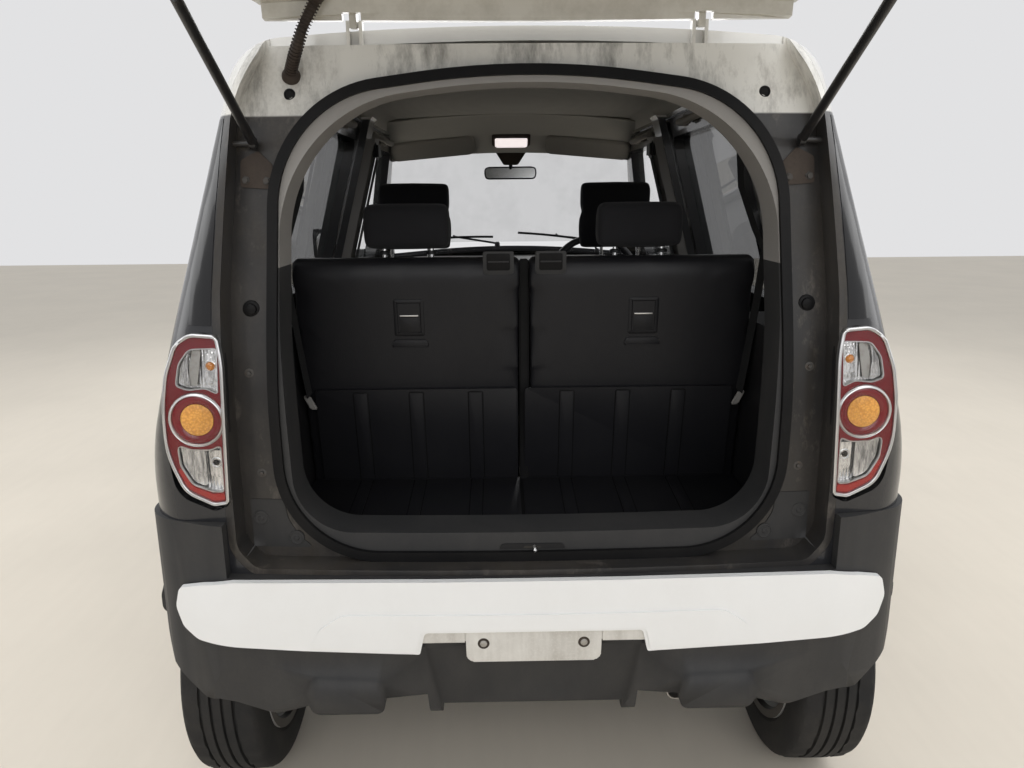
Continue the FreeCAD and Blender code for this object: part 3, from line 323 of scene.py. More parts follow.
@dataclass(frozen=True)
class Cloth:
    """Woven or felted cloth."""

    name: str
    colour: Colour
    accent: Colour
    threads: float = 700.0
    depth: float = 0.25
    sheen: float = 0.3

    def make(self) -> bpy.types.Material:
        """Return the cloth, its weave in Object coordinates."""
        shade = Shader(self.name)
        weave = shade.calc(shade.waves(self.threads / 6.3, "X"), shade.waves(self.threads / 6.3, "Z"))
        fuzz = shade.noise(520.0, 4.0)
        tone = shade.ramp(shade.noise(9.0, 4.0), 0.3, 0.75)
        tint = shade.mix(shade.calc(weave, 0.55), self.colour, self.accent)
        shade.set(Base_Color=shade.mix(shade.calc(tone, 0.3), tint, self.accent), Roughness=0.9,
                  Specular_IOR_Level=0.2, Sheen_Weight=self.sheen, Sheen_Roughness=0.5)
        shade.bump(weave, self.depth, 0.6)
        shade.bump(fuzz, self.depth * 0.6, 0.5)
        return shade.material


@dataclass(frozen=True)
class Metal:
    """Bare, plated or cast metal."""

    name: str
    colour: Colour
    roughness: float = 0.3
    metallic: float = 1.0
    spots: Colour = (0.12, 0.08, 0.05)
    spot_share: float = 0.15
    texture: float = 90.0

    def make(self) -> bpy.types.Material:
        """Return the metal with its tarnish."""
        shade = Shader(self.name)
        tarnish = shade.calc(shade.ramp(shade.noise(self.texture, 5.0), 0.5, 0.8), self.spot_share)
        rough = shade.ramp(shade.noise(self.texture * 3, 3.0), -1.0, 1.8)
        shade.set(Base_Color=shade.mix(tarnish, self.colour, self.spots), Metallic=self.metallic,
                  Roughness=shade.calc(shade.calc(rough, 0.35), self.roughness, "ADD"))
        shade.bump(shade.noise(self.texture * 4, 2.0), 0.03, 0.4)
        return shade.material


@dataclass(frozen=True)
class Glazing:
    """Window glass or a clear lens, tinted, with a little grime."""

    name: str
    colour: Colour
    alpha: float
    roughness: float = 0.02
    grime: float = 0.12
    gloss: float = 0.6

    def make(self) -> bpy.types.Material:
        """Return the glass."""
        shade = Shader(self.name)
        film = shade.ramp(shade.noise(7.0, 6.0, (1, 1, 0.5), 0.7), 0.45, 0.85)
        alpha = shade.calc(shade.calc(film, self.grime), self.alpha, "ADD")
        shade.set(Base_Color=shade.mix(shade.calc(film, 0.3), self.colour, (0.3, 0.29, 0.27)),
                  Roughness=self.roughness, Alpha=alpha, Specular_IOR_Level=self.gloss)
        return shade.material


@dataclass(frozen=True)
class GatePaint:
    """Tailgate paint: white hinge end and dark outer skin, pale and dirty inside near the hinges."""

    name: str
    white: Colour
    dark: Colour
    inner: Colour
    split: float = 0.075

    def make(self) -> bpy.types.Material:
        """Return the paint; the open gate's outer skin faces up."""
        shade = Shader(self.name)
        outer = shade.ramp(shade.facing("Z"), 0.05, 0.1)
        near = shade.ramp(shade.axis("Y"), SHIFT_Y + self.split, SHIFT_Y + self.split + 0.002)
        grime = shade.ramp(shade.noise(14.0, 7.0, (1, 1, 1), 0.7), 0.42, 0.8)
        skin = shade.mix(near, self.dark, self.white)
        inside = shade.mix(shade.calc(grime, 0.55), self.inner, (0.20, 0.165, 0.11))
        shade.set(Base_Color=shade.mix(outer, inside, skin), Roughness=0.32, Coat_Weight=0.6,
                  Coat_Roughness=0.08)
        shade.bump(shade.noise(420.0, 1.0), 0.012, 0.35)
        return shade.material


@dataclass(frozen=True)
class Lit:
    """Pale lens of a lamp that is switched on."""

    name: str
    colour: Colour
    strength: float

    def make(self) -> bpy.types.Material:
        """Return the glowing lens."""
        shade = Shader(self.name)
        glow = shade.mix(shade.ramp(shade.noise(60.0, 2.0), 0.3, 0.8), self.colour,
                         tuple(c * 0.9 for c in self.colour))
        shade.set(Base_Color=glow, Emission_Color=glow, Emission_Strength=self.strength, Roughness=0.3)
        shade.bump(shade.waves(900.0, "X"), 0.1, 0.4)
        return shade.material


@dataclass(frozen=True)
class Reflector:
    """Bright lamp bowl with pressed flutes that break up its reflections."""

    name: str
    colour: Colour
    flutes: float = 55.0
    depth: float = 0.8

    def make(self) -> bpy.types.Material:
        """Return the plated bowl."""
        shade = Shader(self.name)
        flutes = shade.waves(self.flutes, "X")
        facets = shade.cells(170.0)
        tone = shade.ramp(shade.noise(60.0, 5.0, (1, 1, 0.5), 0.7), 0.35, 0.7)
        darker = tuple(c * 0.2 for c in self.colour)
        streak = shade.ramp(shade.noise(150.0, 4.0, (1, 1, 0.16), 0.7), 0.44, 0.6)
        both = shade.calc(shade.calc(tone, 0.45), shade.calc(streak, 0.5), "ADD")
        shade.set(Base_Color=shade.mix(both, self.colour, darker), Metallic=0.8, Roughness=0.12)
        shade.bump(flutes, self.depth, 0.8)
        shade.bump(facets, 0.5, 0.4)
        return shade.material


@dataclass(frozen=True)
class Lens:
    """Moulded lamp lens with optics pressed in its inside."""

    name: str
    colour: Colour
    pitch: float = 240.0
    transmission: float = 0.55
    depth: float = 0.7
    spots: Colour | None = None
    coat: float = 1.0

    def make(self) -> bpy.types.Material:
        """Return the lens."""
        shade = Shader(self.name)
        cells = shade.cells(self.pitch)
        deep = shade.calc(shade.ramp(cells, 0.1, 0.8), 0.5)
        darker = self.spots or tuple(c * 0.5 for c in self.colour)
        shade.set(Base_Color=shade.mix(deep, self.colour, darker), Roughness=0.08,
                  Transmission_Weight=self.transmission, IOR=1.49, Coat_Weight=self.coat,
                  Coat_Roughness=0.03)
        shade.bump(cells, self.depth, 0.6)
        return shade.material


DARK_PAINT = (0.019, 0.0195, 0.022)
ROOF_WHITE = (0.70, 0.69, 0.66)


class Finishes:
    """Every finish of the car, made once and shared by its pieces."""

    def __init__(self) -> None:
        """Make the materials by name."""
        kinds = [
            Paint("body_dark", DARK_PAINT, dust_share=0.10, coat=0.35, gloss=0.3, upper=ROOF_WHITE,
                  lining=(0.016, 0.016, 0.017), lining_above=(0.235, 0.225, 0.205)),
            Paint("door_dark", DARK_PAINT, dust_share=0.10, coat=0.35, gloss=0.3,
                  lining=(0.014, 0.014, 0.015)),
            Paint("pillar_black", (0.004, 0.004, 0.005), dust=(0.03, 0.027, 0.025), dust_share=0.15,
                  roughness=0.16, coat=0.2, gloss=0.35),
            Paint("roof_white", ROOF_WHITE, dust=(0.35, 0.32, 0.26), dust_share=0.2),
            # Gutter: its light patches are partly wear and partly painted sheen.
            Paint("gutter", (0.026, 0.0245, 0.024), dust=(0.115, 0.098, 0.08), dust_share=0.55,
                  roughness=0.32, coat=0.15, gloss=0.3, upper=(0.72, 0.705, 0.66), upper_from=1.452,
                  stains=0.75, scuffs=0.4),
            GatePaint("gate_paint", ROOF_WHITE, DARK_PAINT, (0.52, 0.50, 0.44)),
            Moulding("garnish_white", (0.78, 0.78, 0.775), dust=(0.5, 0.47, 0.42), dust_share=0.12,
                     roughness=0.28, grain_depth=0.01, gloss=0.5),
            Moulding("cladding_grey", (0.029, 0.029, 0.030), dust=(0.075, 0.07, 0.064), dust_share=0.4,
                     roughness=0.5, streaks=0.3),
            Moulding("sill_grey", (0.030, 0.030, 0.031), dust=(0.075, 0.07, 0.066), dust_share=0.4),
            Moulding("black_plastic", (0.010, 0.010, 0.0115), dust=(0.04, 0.037, 0.034), dust_share=0.3,
                     roughness=0.5),
            Moulding("vinyl_black", (0.0105, 0.0105, 0.0125), dust=(0.032, 0.031, 0.031), dust_share=0.2,
                     roughness=0.42, grain=420.0, grain_depth=0.2),
            Moulding("plate_white", (0.66, 0.64, 0.60), dust=(0.17, 0.14, 0.10), dust_share=0.55,
                     roughness=0.5, grain_depth=0.02, streaks=0.7),
            Lit("lamp_lit", (0.95, 0.86, 0.84), 0.95),
            Moulding("light_trim", (0.27, 0.258, 0.245), dust=(0.16, 0.15, 0.135), dust_share=0.25,
                     roughness=0.6),
            Moulding("hose_brown", (0.035, 0.026, 0.021), dust=(0.13, 0.10, 0.075), dust_share=0.5,
                     roughness=0.6),
            Moulding("visor_vinyl", (0.30, 0.285, 0.26), dust=(0.2, 0.19, 0.17), dust_share=0.2,
                     roughness=0.7),
            Moulding("lamp_pale", (0.62, 0.60, 0.58), dust=(0.5, 0.45, 0.42), dust_share=0.1, roughness=0.3,
                     grain_depth=0.02),
            Cloth("belt_webbing", (0.006, 0.006, 0.0065), (0.014, 0.014, 0.015), threads=420.0, depth=0.2,
                  sheen=0.03),
            Moulding("seal_rubber", (0.0065, 0.0065, 0.007), dust=(0.034, 0.031, 0.028), dust_share=0.25,
                     roughness=0.5, grain_depth=0.03, gloss=0.12),
            Moulding("tyre_rubber", (0.016, 0.016, 0.0165), dust=(0.075, 0.067, 0.058), dust_share=0.45,
                     roughness=0.72, grain=300.0, grain_depth=0.15),
            Moulding("under_black", (0.018, 0.018, 0.018), dust=(0.10, 0.085, 0.065), dust_share=0.5,
                     roughness=0.7),
            Cloth("seat_cloth", (0.009, 0.009, 0.0105), (0.022, 0.022, 0.025), sheen=0.08),
            Cloth("seat_side", (0.010, 0.010, 0.0115), (0.021, 0.021, 0.024), threads=500.0, sheen=0.06),
            Cloth("headlining", (0.50, 0.485, 0.445), (0.58, 0.565, 0.52), threads=900.0, depth=0.1,
                  sheen=0.1),
            Metal("chrome", (0.78, 0.78, 0.78), roughness=0.04, spot_share=0.04),
            Metal("steel", (0.42, 0.41, 0.39), roughness=0.3, spot_share=0.4),
            Metal("cast_iron", (0.09, 0.085, 0.08), roughness=0.5, metallic=0.6, spot_share=0.6),
            # Rims: the faces turned towards the car's middle are drawn near black.
            Paint("rim_paint", (0.56, 0.56, 0.55), dust=(0.16, 0.12, 0.09), dust_share=0.3, roughness=0.3,
                  coat=0.3, lining=(0.018, 0.016, 0.015)),
            Metal("strut_black", (0.012, 0.012, 0.013), roughness=0.18, metallic=0.0, spot_share=0.1),
            Metal("rod_chrome", (0.7, 0.7, 0.7), roughness=0.08, spot_share=0.1),
            Metal("lamp_silver", (0.62, 0.62, 0.62), roughness=0.12, spot_share=0.1),
            Reflector("reflector", (0.96, 0.95, 0.94)),
            Reflector("reflector_fluted", (0.92, 0.91, 0.90), flutes=110.0, depth=1.2),
            Metal("mirror_glass", (0.85, 0.86, 0.86), roughness=0.01, spot_share=0.0),
            Glazing("glass_clear", (0.10, 0.13, 0.12), 0.12, grime=0.06, gloss=0.4),
            Glazing("glass_dark", (0.030, 0.040, 0.042), 0.60, grime=0.02, gloss=0.3),
            Glazing("lens_clear", (0.04, 0.042, 0.042), 0.05, grime=0.03),
            Lens("lens_red", (0.19, 0.012, 0.016), pitch=520.0, transmission=0.0, depth=0.15, coat=0.2),
            Lens("lens_red_bright", (0.42, 0.030, 0.024), pitch=420.0, transmission=0.0, depth=0.3,
                 coat=0.3),
            Lens("lens_amber", (0.84, 0.42, 0.09), pitch=260.0, transmission=0.0, spots=(0.36, 0.10, 0.02),
                 coat=0.3),
            Lens("bulb_amber", (0.62, 0.22, 0.03), pitch=80.0, transmission=0.0),
        ]
        self.by_name = {kind.name: kind.make() for kind in kinds}

    def __getitem__(self, name: str) -> bpy.types.Material:
        """Return a finish by its name."""
        return self.by_name[name]

    def dress(self, piece: bpy.types.Object, name: str) -> bpy.types.Object:
        """Give a piece one finish all over."""
        piece.data.materials.clear()
        piece.data.materials.append(self.by_name[name])
        return piece


def held(value: float, limits: Pair) -> float:
    """Return a value kept between two limits."""
    return min(max(value, limits[0]), limits[1])


def linked(name: str, data: bpy.types.ID) -> bpy.types.Object:
    """Return a new object with some data, linked to the scene."""
    made = bpy.data.objects.new(name, data)
    bpy.context.scene.collection.objects.link(made)
    return made


def baked(name: str, mesh: bmesh.types.BMesh) -> bpy.types.Mesh:
    """Return a bmesh as mesh data, and free it."""
    data = bpy.data.meshes.new(name)
    mesh.to_mesh(data)
    mesh.free()
    return data


def evaluated(piece: bpy.types.Object) -> bpy.types.Mesh:
    """Return a piece's mesh with its modifiers applied."""
    bpy.context.view_layer.update()
    return bpy.data.meshes.new_from_object(piece.evaluated_get(bpy.context.evaluated_depsgraph_get()))


def stitch(mesh: bmesh.types.BMesh, rows: Sequence[Sequence[bmesh.types.BMVert]],
           closed: bool = True) -> None:
    """Lay faces between rows of vertices; where closed, each row's ends meet."""
    for first, second in zip(rows, rows[1:]):
        count = len(first)
        for i in range(count if closed else count - 1):
            j = (i + 1) % count
            mesh.faces.new((first[i], first[j], second[j], second[i]))


def rounded(outline: Sequence[Point], steps: int = 5) -> list[Pair]:
    """Return an outline's points with its corners rounded.

    Args:
        outline: Corners as (u, v, radius), in millimetres.
        steps: Points in each rounded corner.

    Returns:
        Points (u, v) in millimetres.
    """
    points: list[Pair] = []
    count = len(outline)
    for i, (u, v, radius) in enumerate(outline):
        here = Vector((u, v))
        back = Vector(outline[i - 1][:2]) - here
        ahead = Vector(outline[(i + 1) % count][:2]) - here
        if radius <= 0 or not back.length or not ahead.length:
            points.append((u, v))
            continue
        angle = back.angle(ahead)
        reach = min(radius / math.tan(angle / 2), back.length * 0.48, ahead.length * 0.48)
        start = here + back.normalized() * reach
        end = here + ahead.normalized() * reach
        for k in range(steps):
            t = k / (steps - 1)
            spot = start * (1 - t) ** 2 + here * 2 * t * (1 - t) + end * t ** 2
            points.append((spot.x, spot.y))
    return points


def slab(points: Sequence[Pair], place: Place, low: float, high: float, bevel: float = 0.0,
         segments: int = 2) -> bmesh.types.BMesh:
    """Return a plate with an outline, between two depths.

    Args:
        points: Outline (u, v) in millimetres.
        place: Turns (u, v, depth) into a point of the row frame.
        low: Depth of the first face.
        high: Depth of the second face.
        bevel: Width of the rounded rims, in millimetres.
        segments: Faces across a rounded rim.

    Returns:
        The plate's mesh.
    """
    mesh = bmesh.new()
    first = [mesh.verts.new(place(u, v, low)) for u, v in points]
    second = [mesh.verts.new(place(u, v, high)) for u, v in points]
    lid = mesh.faces.new(first)
    floor = mesh.faces.new(list(reversed(second)))
    count = len(points)
    for i in range(count):
        j = (i + 1) % count
        mesh.faces.new((first[j], first[i], second[i], second[j]))
    if bevel:
        rims = list(lid.edges) + list(floor.edges)
        bmesh.ops.bevel(mesh, geom=rims, offset=bevel / 1000, segments=segments, affect="EDGES",
                        profile=0.6, clamp_overlap=True)
    return mesh


def block(low: Point, high: Point, bevel: float = 2.0, segments: int = 2) -> bmesh.types.BMesh:
    """Return a rounded block between two stations."""
    mesh = bmesh.new()
    bmesh.ops.create_cube(mesh, size=1.0)
    start, end = at(*low), at(*high)
    for vertex in mesh.verts:
        vertex.co = Vector(start[k] + (vertex.co[k] + 0.5) * (end[k] - start[k]) for k in range(3))
    if bevel:
        bmesh.ops.bevel(mesh, geom=mesh.edges[:], offset=bevel / 1000, segments=segments, affect="EDGES",
                        clamp_overlap=True)
    return mesh


def ring(mesh: bmesh.types.BMesh, spot: Vector, side: Vector, up: Vector, radius: float,
         steps: int) -> list[bmesh.types.BMVert]:
    """Return new vertices on a circle about a point, its radius in millimetres."""
    angles = (2 * math.pi * k / steps for k in range(steps))
    return [mesh.verts.new(spot + (side * math.cos(a) + up * math.sin(a)) * (radius / 1000))
            for a in angles]


def lathe(profile: Sequence[Pair], centre: Vector, axis: Vector, steps: int = 48,
          closed: bool = False) -> bmesh.types.BMesh:
    """Return a profile turned about an axis.

    Args:
        profile: Points (along, radius) in millimetres.
        centre: Start of the axis, in metres.
        axis: The axis's direction.
        steps: Faces round the axis.
        closed: True where the profile's ends meet.

    Returns:
        The turned mesh.
    """
    mesh = bmesh.new()
    way = axis.normalized()
    side = way.orthogonal().normalized()
    up = way.cross(side)
    rings = []
    for along, radius in profile:
        spot = centre + way * (along / 1000)
        if radius < 0.01:
            rings.append([mesh.verts.new(spot)])
        else:
            rings.append(ring(mesh, spot, side, up, radius, steps))
    pairs = list(zip(rings, rings[1:]))
    if closed:
        pairs.append((rings[-1], rings[0]))
    for first, second in pairs:
        for k in range(steps):
            j = (k + 1) % steps
            corners = [first[k % len(first)], first[j % len(first)], second[j % len(second)],
                       second[k % len(second)]]
            unique = list(dict.fromkeys(corners))
            if len(unique) > 2:
                mesh.faces.new(unique)
    return mesh


def join(parts: Iterable[bmesh.types.BMesh]) -> bmesh.types.BMesh:
    """Return several meshes as one."""
    whole = bmesh.new()
    for part in parts:
        data = baked("part", part)
        whole.from_mesh(data)
        bpy.data.meshes.remove(data)
    return whole


def tube(points: Sequence[Vector], radius: float, sides: int = 10) -> bmesh.types.BMesh:
    """Return a round bar along a line that is rounded off between its points.

    Args:
        points: Points of the line, in metres.
        radius: The bar's radius in millimetres.
        sides: Faces round the bar.

    Returns:
        The bar's mesh.
    """
    line: list[Vector] = []
    if len(points) > 2:
        for i in range(len(points) - 1):
            before = points[max(i - 1, 0)]
            start, end = points[i], points[i + 1]
            after = points[min(i + 2, len(points) - 1)]
            for k in range(6):
                t = k / 6
                line.append(0.5 * (2 * start + (end - before) * t
                                   + (2 * before - 5 * start + 4 * end - after) * t * t
                                   + (3 * start - before - 3 * end + after) * t * t * t))
        line.append(points[-1])
    else:
        line = list(points)
    mesh = bmesh.new()
    rings = []
    side = (line[1] - line[0]).orthogonal().normalized()
    for i, spot in enumerate(line):
        way = (line[min(i + 1, len(line) - 1)] - line[max(i - 1, 0)]).normalized()
        side = (side - way * side.dot(way)).normalized()
        rings.append(ring(mesh, spot, side, way.cross(side), radius, sides))
    stitch(mesh, rings)
    mesh.faces.new(rings[0])
    mesh.faces.new(list(reversed(rings[-1])))
    return mesh


def offset(points: Sequence[Pair], depth: float) -> list[Pair]:
    """Return a closed outline's points moved inwards by a depth in millimetres."""
    count = len(points)
    area = sum(points[i - 1][0] * points[i][1] - points[i][0] * points[i - 1][1] for i in range(count))
    sense = 1.0 if area > 0 else -1.0
    moved = []
    for i in range(count):
        before, here, after = (Vector(points[k % count]) for k in (i - 1, i, i + 1))
        first = (here - before).normalized()
        second = (after - here).normalized()
        normal = Vector((-first.y, first.x)) + Vector((-second.y, second.x))
        if normal.length < 1e-6:
            normal = Vector((-first.y, first.x))
        normal.normalize()
        stretch = max(normal.dot(Vector((-first.y, first.x))), 0.5)
        spot = here + normal * (sense * depth / stretch)
        moved.append((spot.x, spot.y))
    return moved


def thickened(flat: bmesh.types.BMesh, place: Place, thickness: float) -> bmesh.types.BMesh:
    """Return a flat mesh laid in its place as a closed plate of a thickness, and free the flat one."""
    mesh = bmesh.new()
    flat.verts.index_update()
    front, back = ([mesh.verts.new(place(v.co.x, v.co.y, depth)) for v in flat.verts]
                   for depth in (0.0, thickness))
    for face in flat.faces:
        order = [v.index for v in face.verts]
        mesh.faces.new([front[i] for i in order])
        mesh.faces.new([back[i] for i in reversed(order)])
    for edge in flat.edges:
        if len(edge.link_faces) == 1:
            i, j = (v.index for v in edge.verts)
            mesh.faces.new((front[i], front[j], back[j], back[i]))
    flat.free()
    return mesh


def draped(points: Sequence[Pair], place: Place, thickness: float, grid: float = 10.0) -> bmesh.types.BMesh:
    """Return a plate laid over a curved surface.

    Args:
        points: Outline (u, v) in millimetres.
        place: Turns (u, v, depth) into a point of the row frame.
        thickness: Depth of the plate's back, in millimetres.
        grid: Spacing of the plate's vertices, in millimetres.

    Returns:
        The closed plate.
    """
    flat = bmesh.new()
    flat.faces.new([flat.verts.new((u, v, 0)) for u, v in points])
    for k, way in ((0, ACROSS), (1, AHEAD)):
        values = [point[k] for point in points]
        line = min(values) + grid
        while line < max(values) - 1e-6:
            bmesh.ops.bisect_plane(flat, geom=flat.verts[:] + flat.edges[:] + flat.faces[:],
                                   plane_co=way * line, plane_no=way, dist=1e-4)
            line += grid
    return thickened(flat, place, thickness)


class Workshop:
    """Makes pieces from meshes at their place and links them to the scene."""

    USUAL_SLOT = {"belt_webbing": "seat_fabric", "black_plastic": "trim_black", "cast_iron": "rod_steel",
                  "chrome": "rod_steel", "cladding_grey": "cladding", "door_dark": "body_paint",
                  "garnish_white": "garnish_white", "headlining": "headlining", "hose_brown": "seal_rubber",
                  "lamp_lit": "lamp_lens", "lamp_pale": "lamp_lens", "lamp_silver": "lamp_lens",
                  "lens_clear": "lamp_lens", "light_trim": "trim_grey", "mirror_glass": "glass_dark",
                  "pillar_black": "trim_black", "plate_white": "garnish_white", "reflector": "lamp_lens",
                  "rod_chrome": "rod_steel", "seal_rubber": "trim_black", "sill_grey": "trim_black",
                  "steel": "rod_steel", "tyre_rubber": "tyre", "under_black": "trim_black",
                  "vinyl_black": "trim_black", "visor_vinyl": "headlining"}

    def __init__(self, finishes: Finishes) -> None:
        """Keep the finishes that pieces are dressed in."""
        self.finishes = finishes

    def piece(self, name: str, mesh: bmesh.types.BMesh | bpy.types.Mesh, finish: str, slot: str = "",
              body: str = "root", smooth: float = 35.0) -> bpy.types.Object:
        """Finish a mesh as a piece that rides on a body.

        Args:
            name: The piece's name.
            mesh: Its mesh in metres, in the row frame.
            finish: The finish that it wears.
            slot: Not used; the record's material slot, or empty for the finish's usual one.
            body: The CAD body that it rides on.
            smooth: Largest angle in degrees that is shaded smooth.

        Returns:
            The linked object.
        """
        data = mesh
        if isinstance(mesh, bmesh.types.BMesh):
            bmesh.ops.recalc_face_normals(mesh, faces=mesh.faces)
            data = baked(name, mesh)
        made = self.finishes.dress(linked(name, data), finish)
        for polygon in data.polygons:
            polygon.use_smooth = True
        data.set_sharp_from_angle(angle=math.radians(smooth))
        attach(made, body)
        slot or self.USUAL_SLOT[finish]
        return made


@dataclass
class Studio:
    """Camera at the photograph's viewpoint, pale floor and soft lamps."""

    eye: Point = (-56.0, -1258.0, 1312.0)
    yaw: float = 0.92
    pitch: float = 13.5
    roll: float = 0.48
    focal_px: float = 780.0
    width_px: float = 1024.0
    sensor: float = 36.0
    floor_colour: Colour = (0.70, 0.635, 0.54)
    wall_colour: Colour = (0.76, 0.76, 0.77)
    light_colour: Colour = (0.86, 0.88, 0.90)
    light_strength: float = 0.78
    lamps: tuple[tuple[str, Point, Point, Pair, float], ...] = (
        ("lamp_above", (0.0, -1.6, 3.6), (0.0, -0.8, 0.6), (5.0, 3.0), 72.0),
        ("lamp_behind", (0.3, -4.6, 2.4), (0.0, -1.0, 0.8), (4.0, 1.8), 50.0),
        ("lamp_right", (4.2, -0.2, 3.4), (0.0, 0.0, 0.6), (2.6, 5.0), 55.0),
        ("lamp_left", (-4.2, -0.2, 3.4), (0.0, 0.0, 0.6), (2.6, 5.0), 55.0),
        ("lamp_front", (0.0, 4.4, 2.8), (0.0, 1.0, 0.8), (4.0, 1.6), 60.0))

    def camera(self) -> None:
        """Set the camera, first of all."""
        yaw, pitch, roll = (math.radians(v) for v in (self.yaw, self.pitch, self.roll))
        ahead = Vector((math.sin(yaw) * math.cos(pitch), math.cos(yaw) * math.cos(pitch), -math.sin(pitch)))
        right = Vector((math.cos(yaw), -math.sin(yaw), 0.0))
        up = right.cross(ahead)
        across = right * math.cos(roll) - up * math.sin(roll)
        above = right * math.sin(roll) + up * math.cos(roll)
        data = bpy.data.cameras.new("camera")
        data.sensor_width = self.sensor
        data.lens = self.focal_px / self.width_px * self.sensor
        data.clip_start = 0.05
        data.clip_end = 100.0
        camera = linked("camera", data)
        turn = Matrix((across, above, -ahead)).transposed().to_4x4()
        camera.matrix_world = Matrix.Translation(at(*self.eye)) @ turn
        bpy.context.scene.camera = camera

    @staticmethod
    def lamp(name: str, place: Point, target: Point, size: Pair, power: float) -> None:
        """Hang one soft lamp, places in metres."""
        data = bpy.data.lights.new(name, "AREA")
        data.shape = "RECTANGLE"
        data.size, data.size_y = size
        data.energy = power
        lamp = linked(name, data)
        lamp.location = place
        lamp.rotation_euler = (Vector(target) - Vector(place)).to_track_quat("-Z", "Y").to_euler()

    def build(self) -> None:
        """Lay the floor, light the scene and set the world."""
        bpy.context.scene.view_settings.view_transform = "Standard"
        mesh = bmesh.new()
        bmesh.ops.create_grid(mesh, x_segments=1, y_segments=1, size=14.0)
        floor = linked("floor", baked("floor", mesh))
        shade = Shader("floor_concrete")
        tone = shade.ramp(shade.noise(1.3, 6.0), 0.3, 0.75)
        brushed = shade.ramp(shade.noise(22.0, 3.0, (1, 0.15, 1)), 0.3, 0.8)
        darker = tuple(c * 0.9 for c in self.floor_colour)
        shade.set(Base_Color=shade.mix(shade.calc(shade.calc(tone, 0.7), shade.calc(brushed, 0.3), "ADD"),
                                       self.floor_colour, darker), Roughness=0.6)
        floor.data.materials.append(shade.material)
        world = bpy.data.worlds.new("studio")
        world.use_nodes = True
        bpy.context.scene.world = world
        self.sky(world.node_tree)
        for name, place, target, size, power in self.lamps:
            self.lamp(name, place, target, size, power)

    def sky(self, tree: bpy.types.NodeTree) -> None:
        """Set the world: soft light, with the pale wall for camera, gloss and glass rays."""
        light = tree.nodes["Background"]
        light.inputs["Color"].default_value = (*self.light_colour, 1.0)
        light.inputs["Strength"].default_value = self.light_strength
        wall = tree.nodes.new("ShaderNodeBackground")
        wall.inputs["Color"].default_value = (*self.wall_colour, 1.0)
        path = tree.nodes.new("ShaderNodeLightPath")
        seen: bpy.types.NodeSocket = path.outputs["Is Camera Ray"]
        for name in ("Is Glossy Ray", "Is Transmission Ray"):
            either = tree.nodes.new("ShaderNodeMath")
            either.operation = "MAXIMUM"
            tree.links.new(seen, either.inputs[0])
            tree.links.new(path.outputs[name], either.inputs[1])
            seen = either.outputs["Value"]
        blend = tree.nodes.new("ShaderNodeMixShader")
        tree.links.new(seen, blend.inputs["Fac"])
        tree.links.new(light.outputs["Background"], blend.inputs[1])
        tree.links.new(wall.outputs["Background"], blend.inputs[2])
        tree.links.new(blend.outputs["Shader"], tree.nodes["World Output"].inputs["Surface"])


class Carried:
    """CAD nodes whose shape stays, with their finishes."""

    FINISH = {
        "body_sides": "body_dark", "tail_frame": "gutter", "roof_panel": "roof_white",
        "headliner": "headlining", "luggage_trim": "black_plastic", "opening_trim": "light_trim",
        "sill_trim": "sill_grey", "opening_seal": "seal_rubber", "windscreen": "glass_clear",
        "quarter_glass": "glass_dark", "tailgate": "gate_paint", "tailgate_glass": "glass_dark",
        "strut_tubes": "strut_black", "strut_rods": "rod_chrome", "hood": "door_dark",
        "cowl_panel": "black_plastic", "front_fenders": "door_dark", "front_bumper": "door_dark",
        "grille": "black_plastic", "headlamps": "lens_clear", "front_garnish": "garnish_white",
        "rear_bumper": "cladding_grey", "rear_garnish": "garnish_white", "tail_lamps": "lens_red",
        "side_cladding": "cladding_grey", "floor_pan": "under_black", "front_subframe": "under_black",
        "rear_axle": "under_black", "fuel_tank": "black_plastic", "exhaust": "steel",
        "engine_block": "cast_iron", "front_seats": "seat_cloth", "rear_seats": "seat_cloth",
        "seat_panels": "black_plastic", "luggage_board": "black_plastic", "dashboard": "black_plastic",
        "steering_wheel": "vinyl_black",
    }

    def __init__(self, finishes: Finishes) -> None:
        """Dress every carried node."""
        for name, node in frame["nodes"].items():
            finishes.dress(node, self.finish_of(name))
            LOG.info("dressed %s", name)

    def finish_of(self, name: str) -> str:
        """Return the finish of one node."""
        if name in self.FINISH:
            return self.FINISH[name]
        starts = {"door_": "door_dark", "glass_front": "glass_clear", "glass_rear": "glass_dark",
                  "tyre_": "tyre_rubber", "rim_": "rim_paint", "knuckle_": "cast_iron"}
        return next((finish for start, finish in starts.items() if name.startswith(start)), "black_plastic")


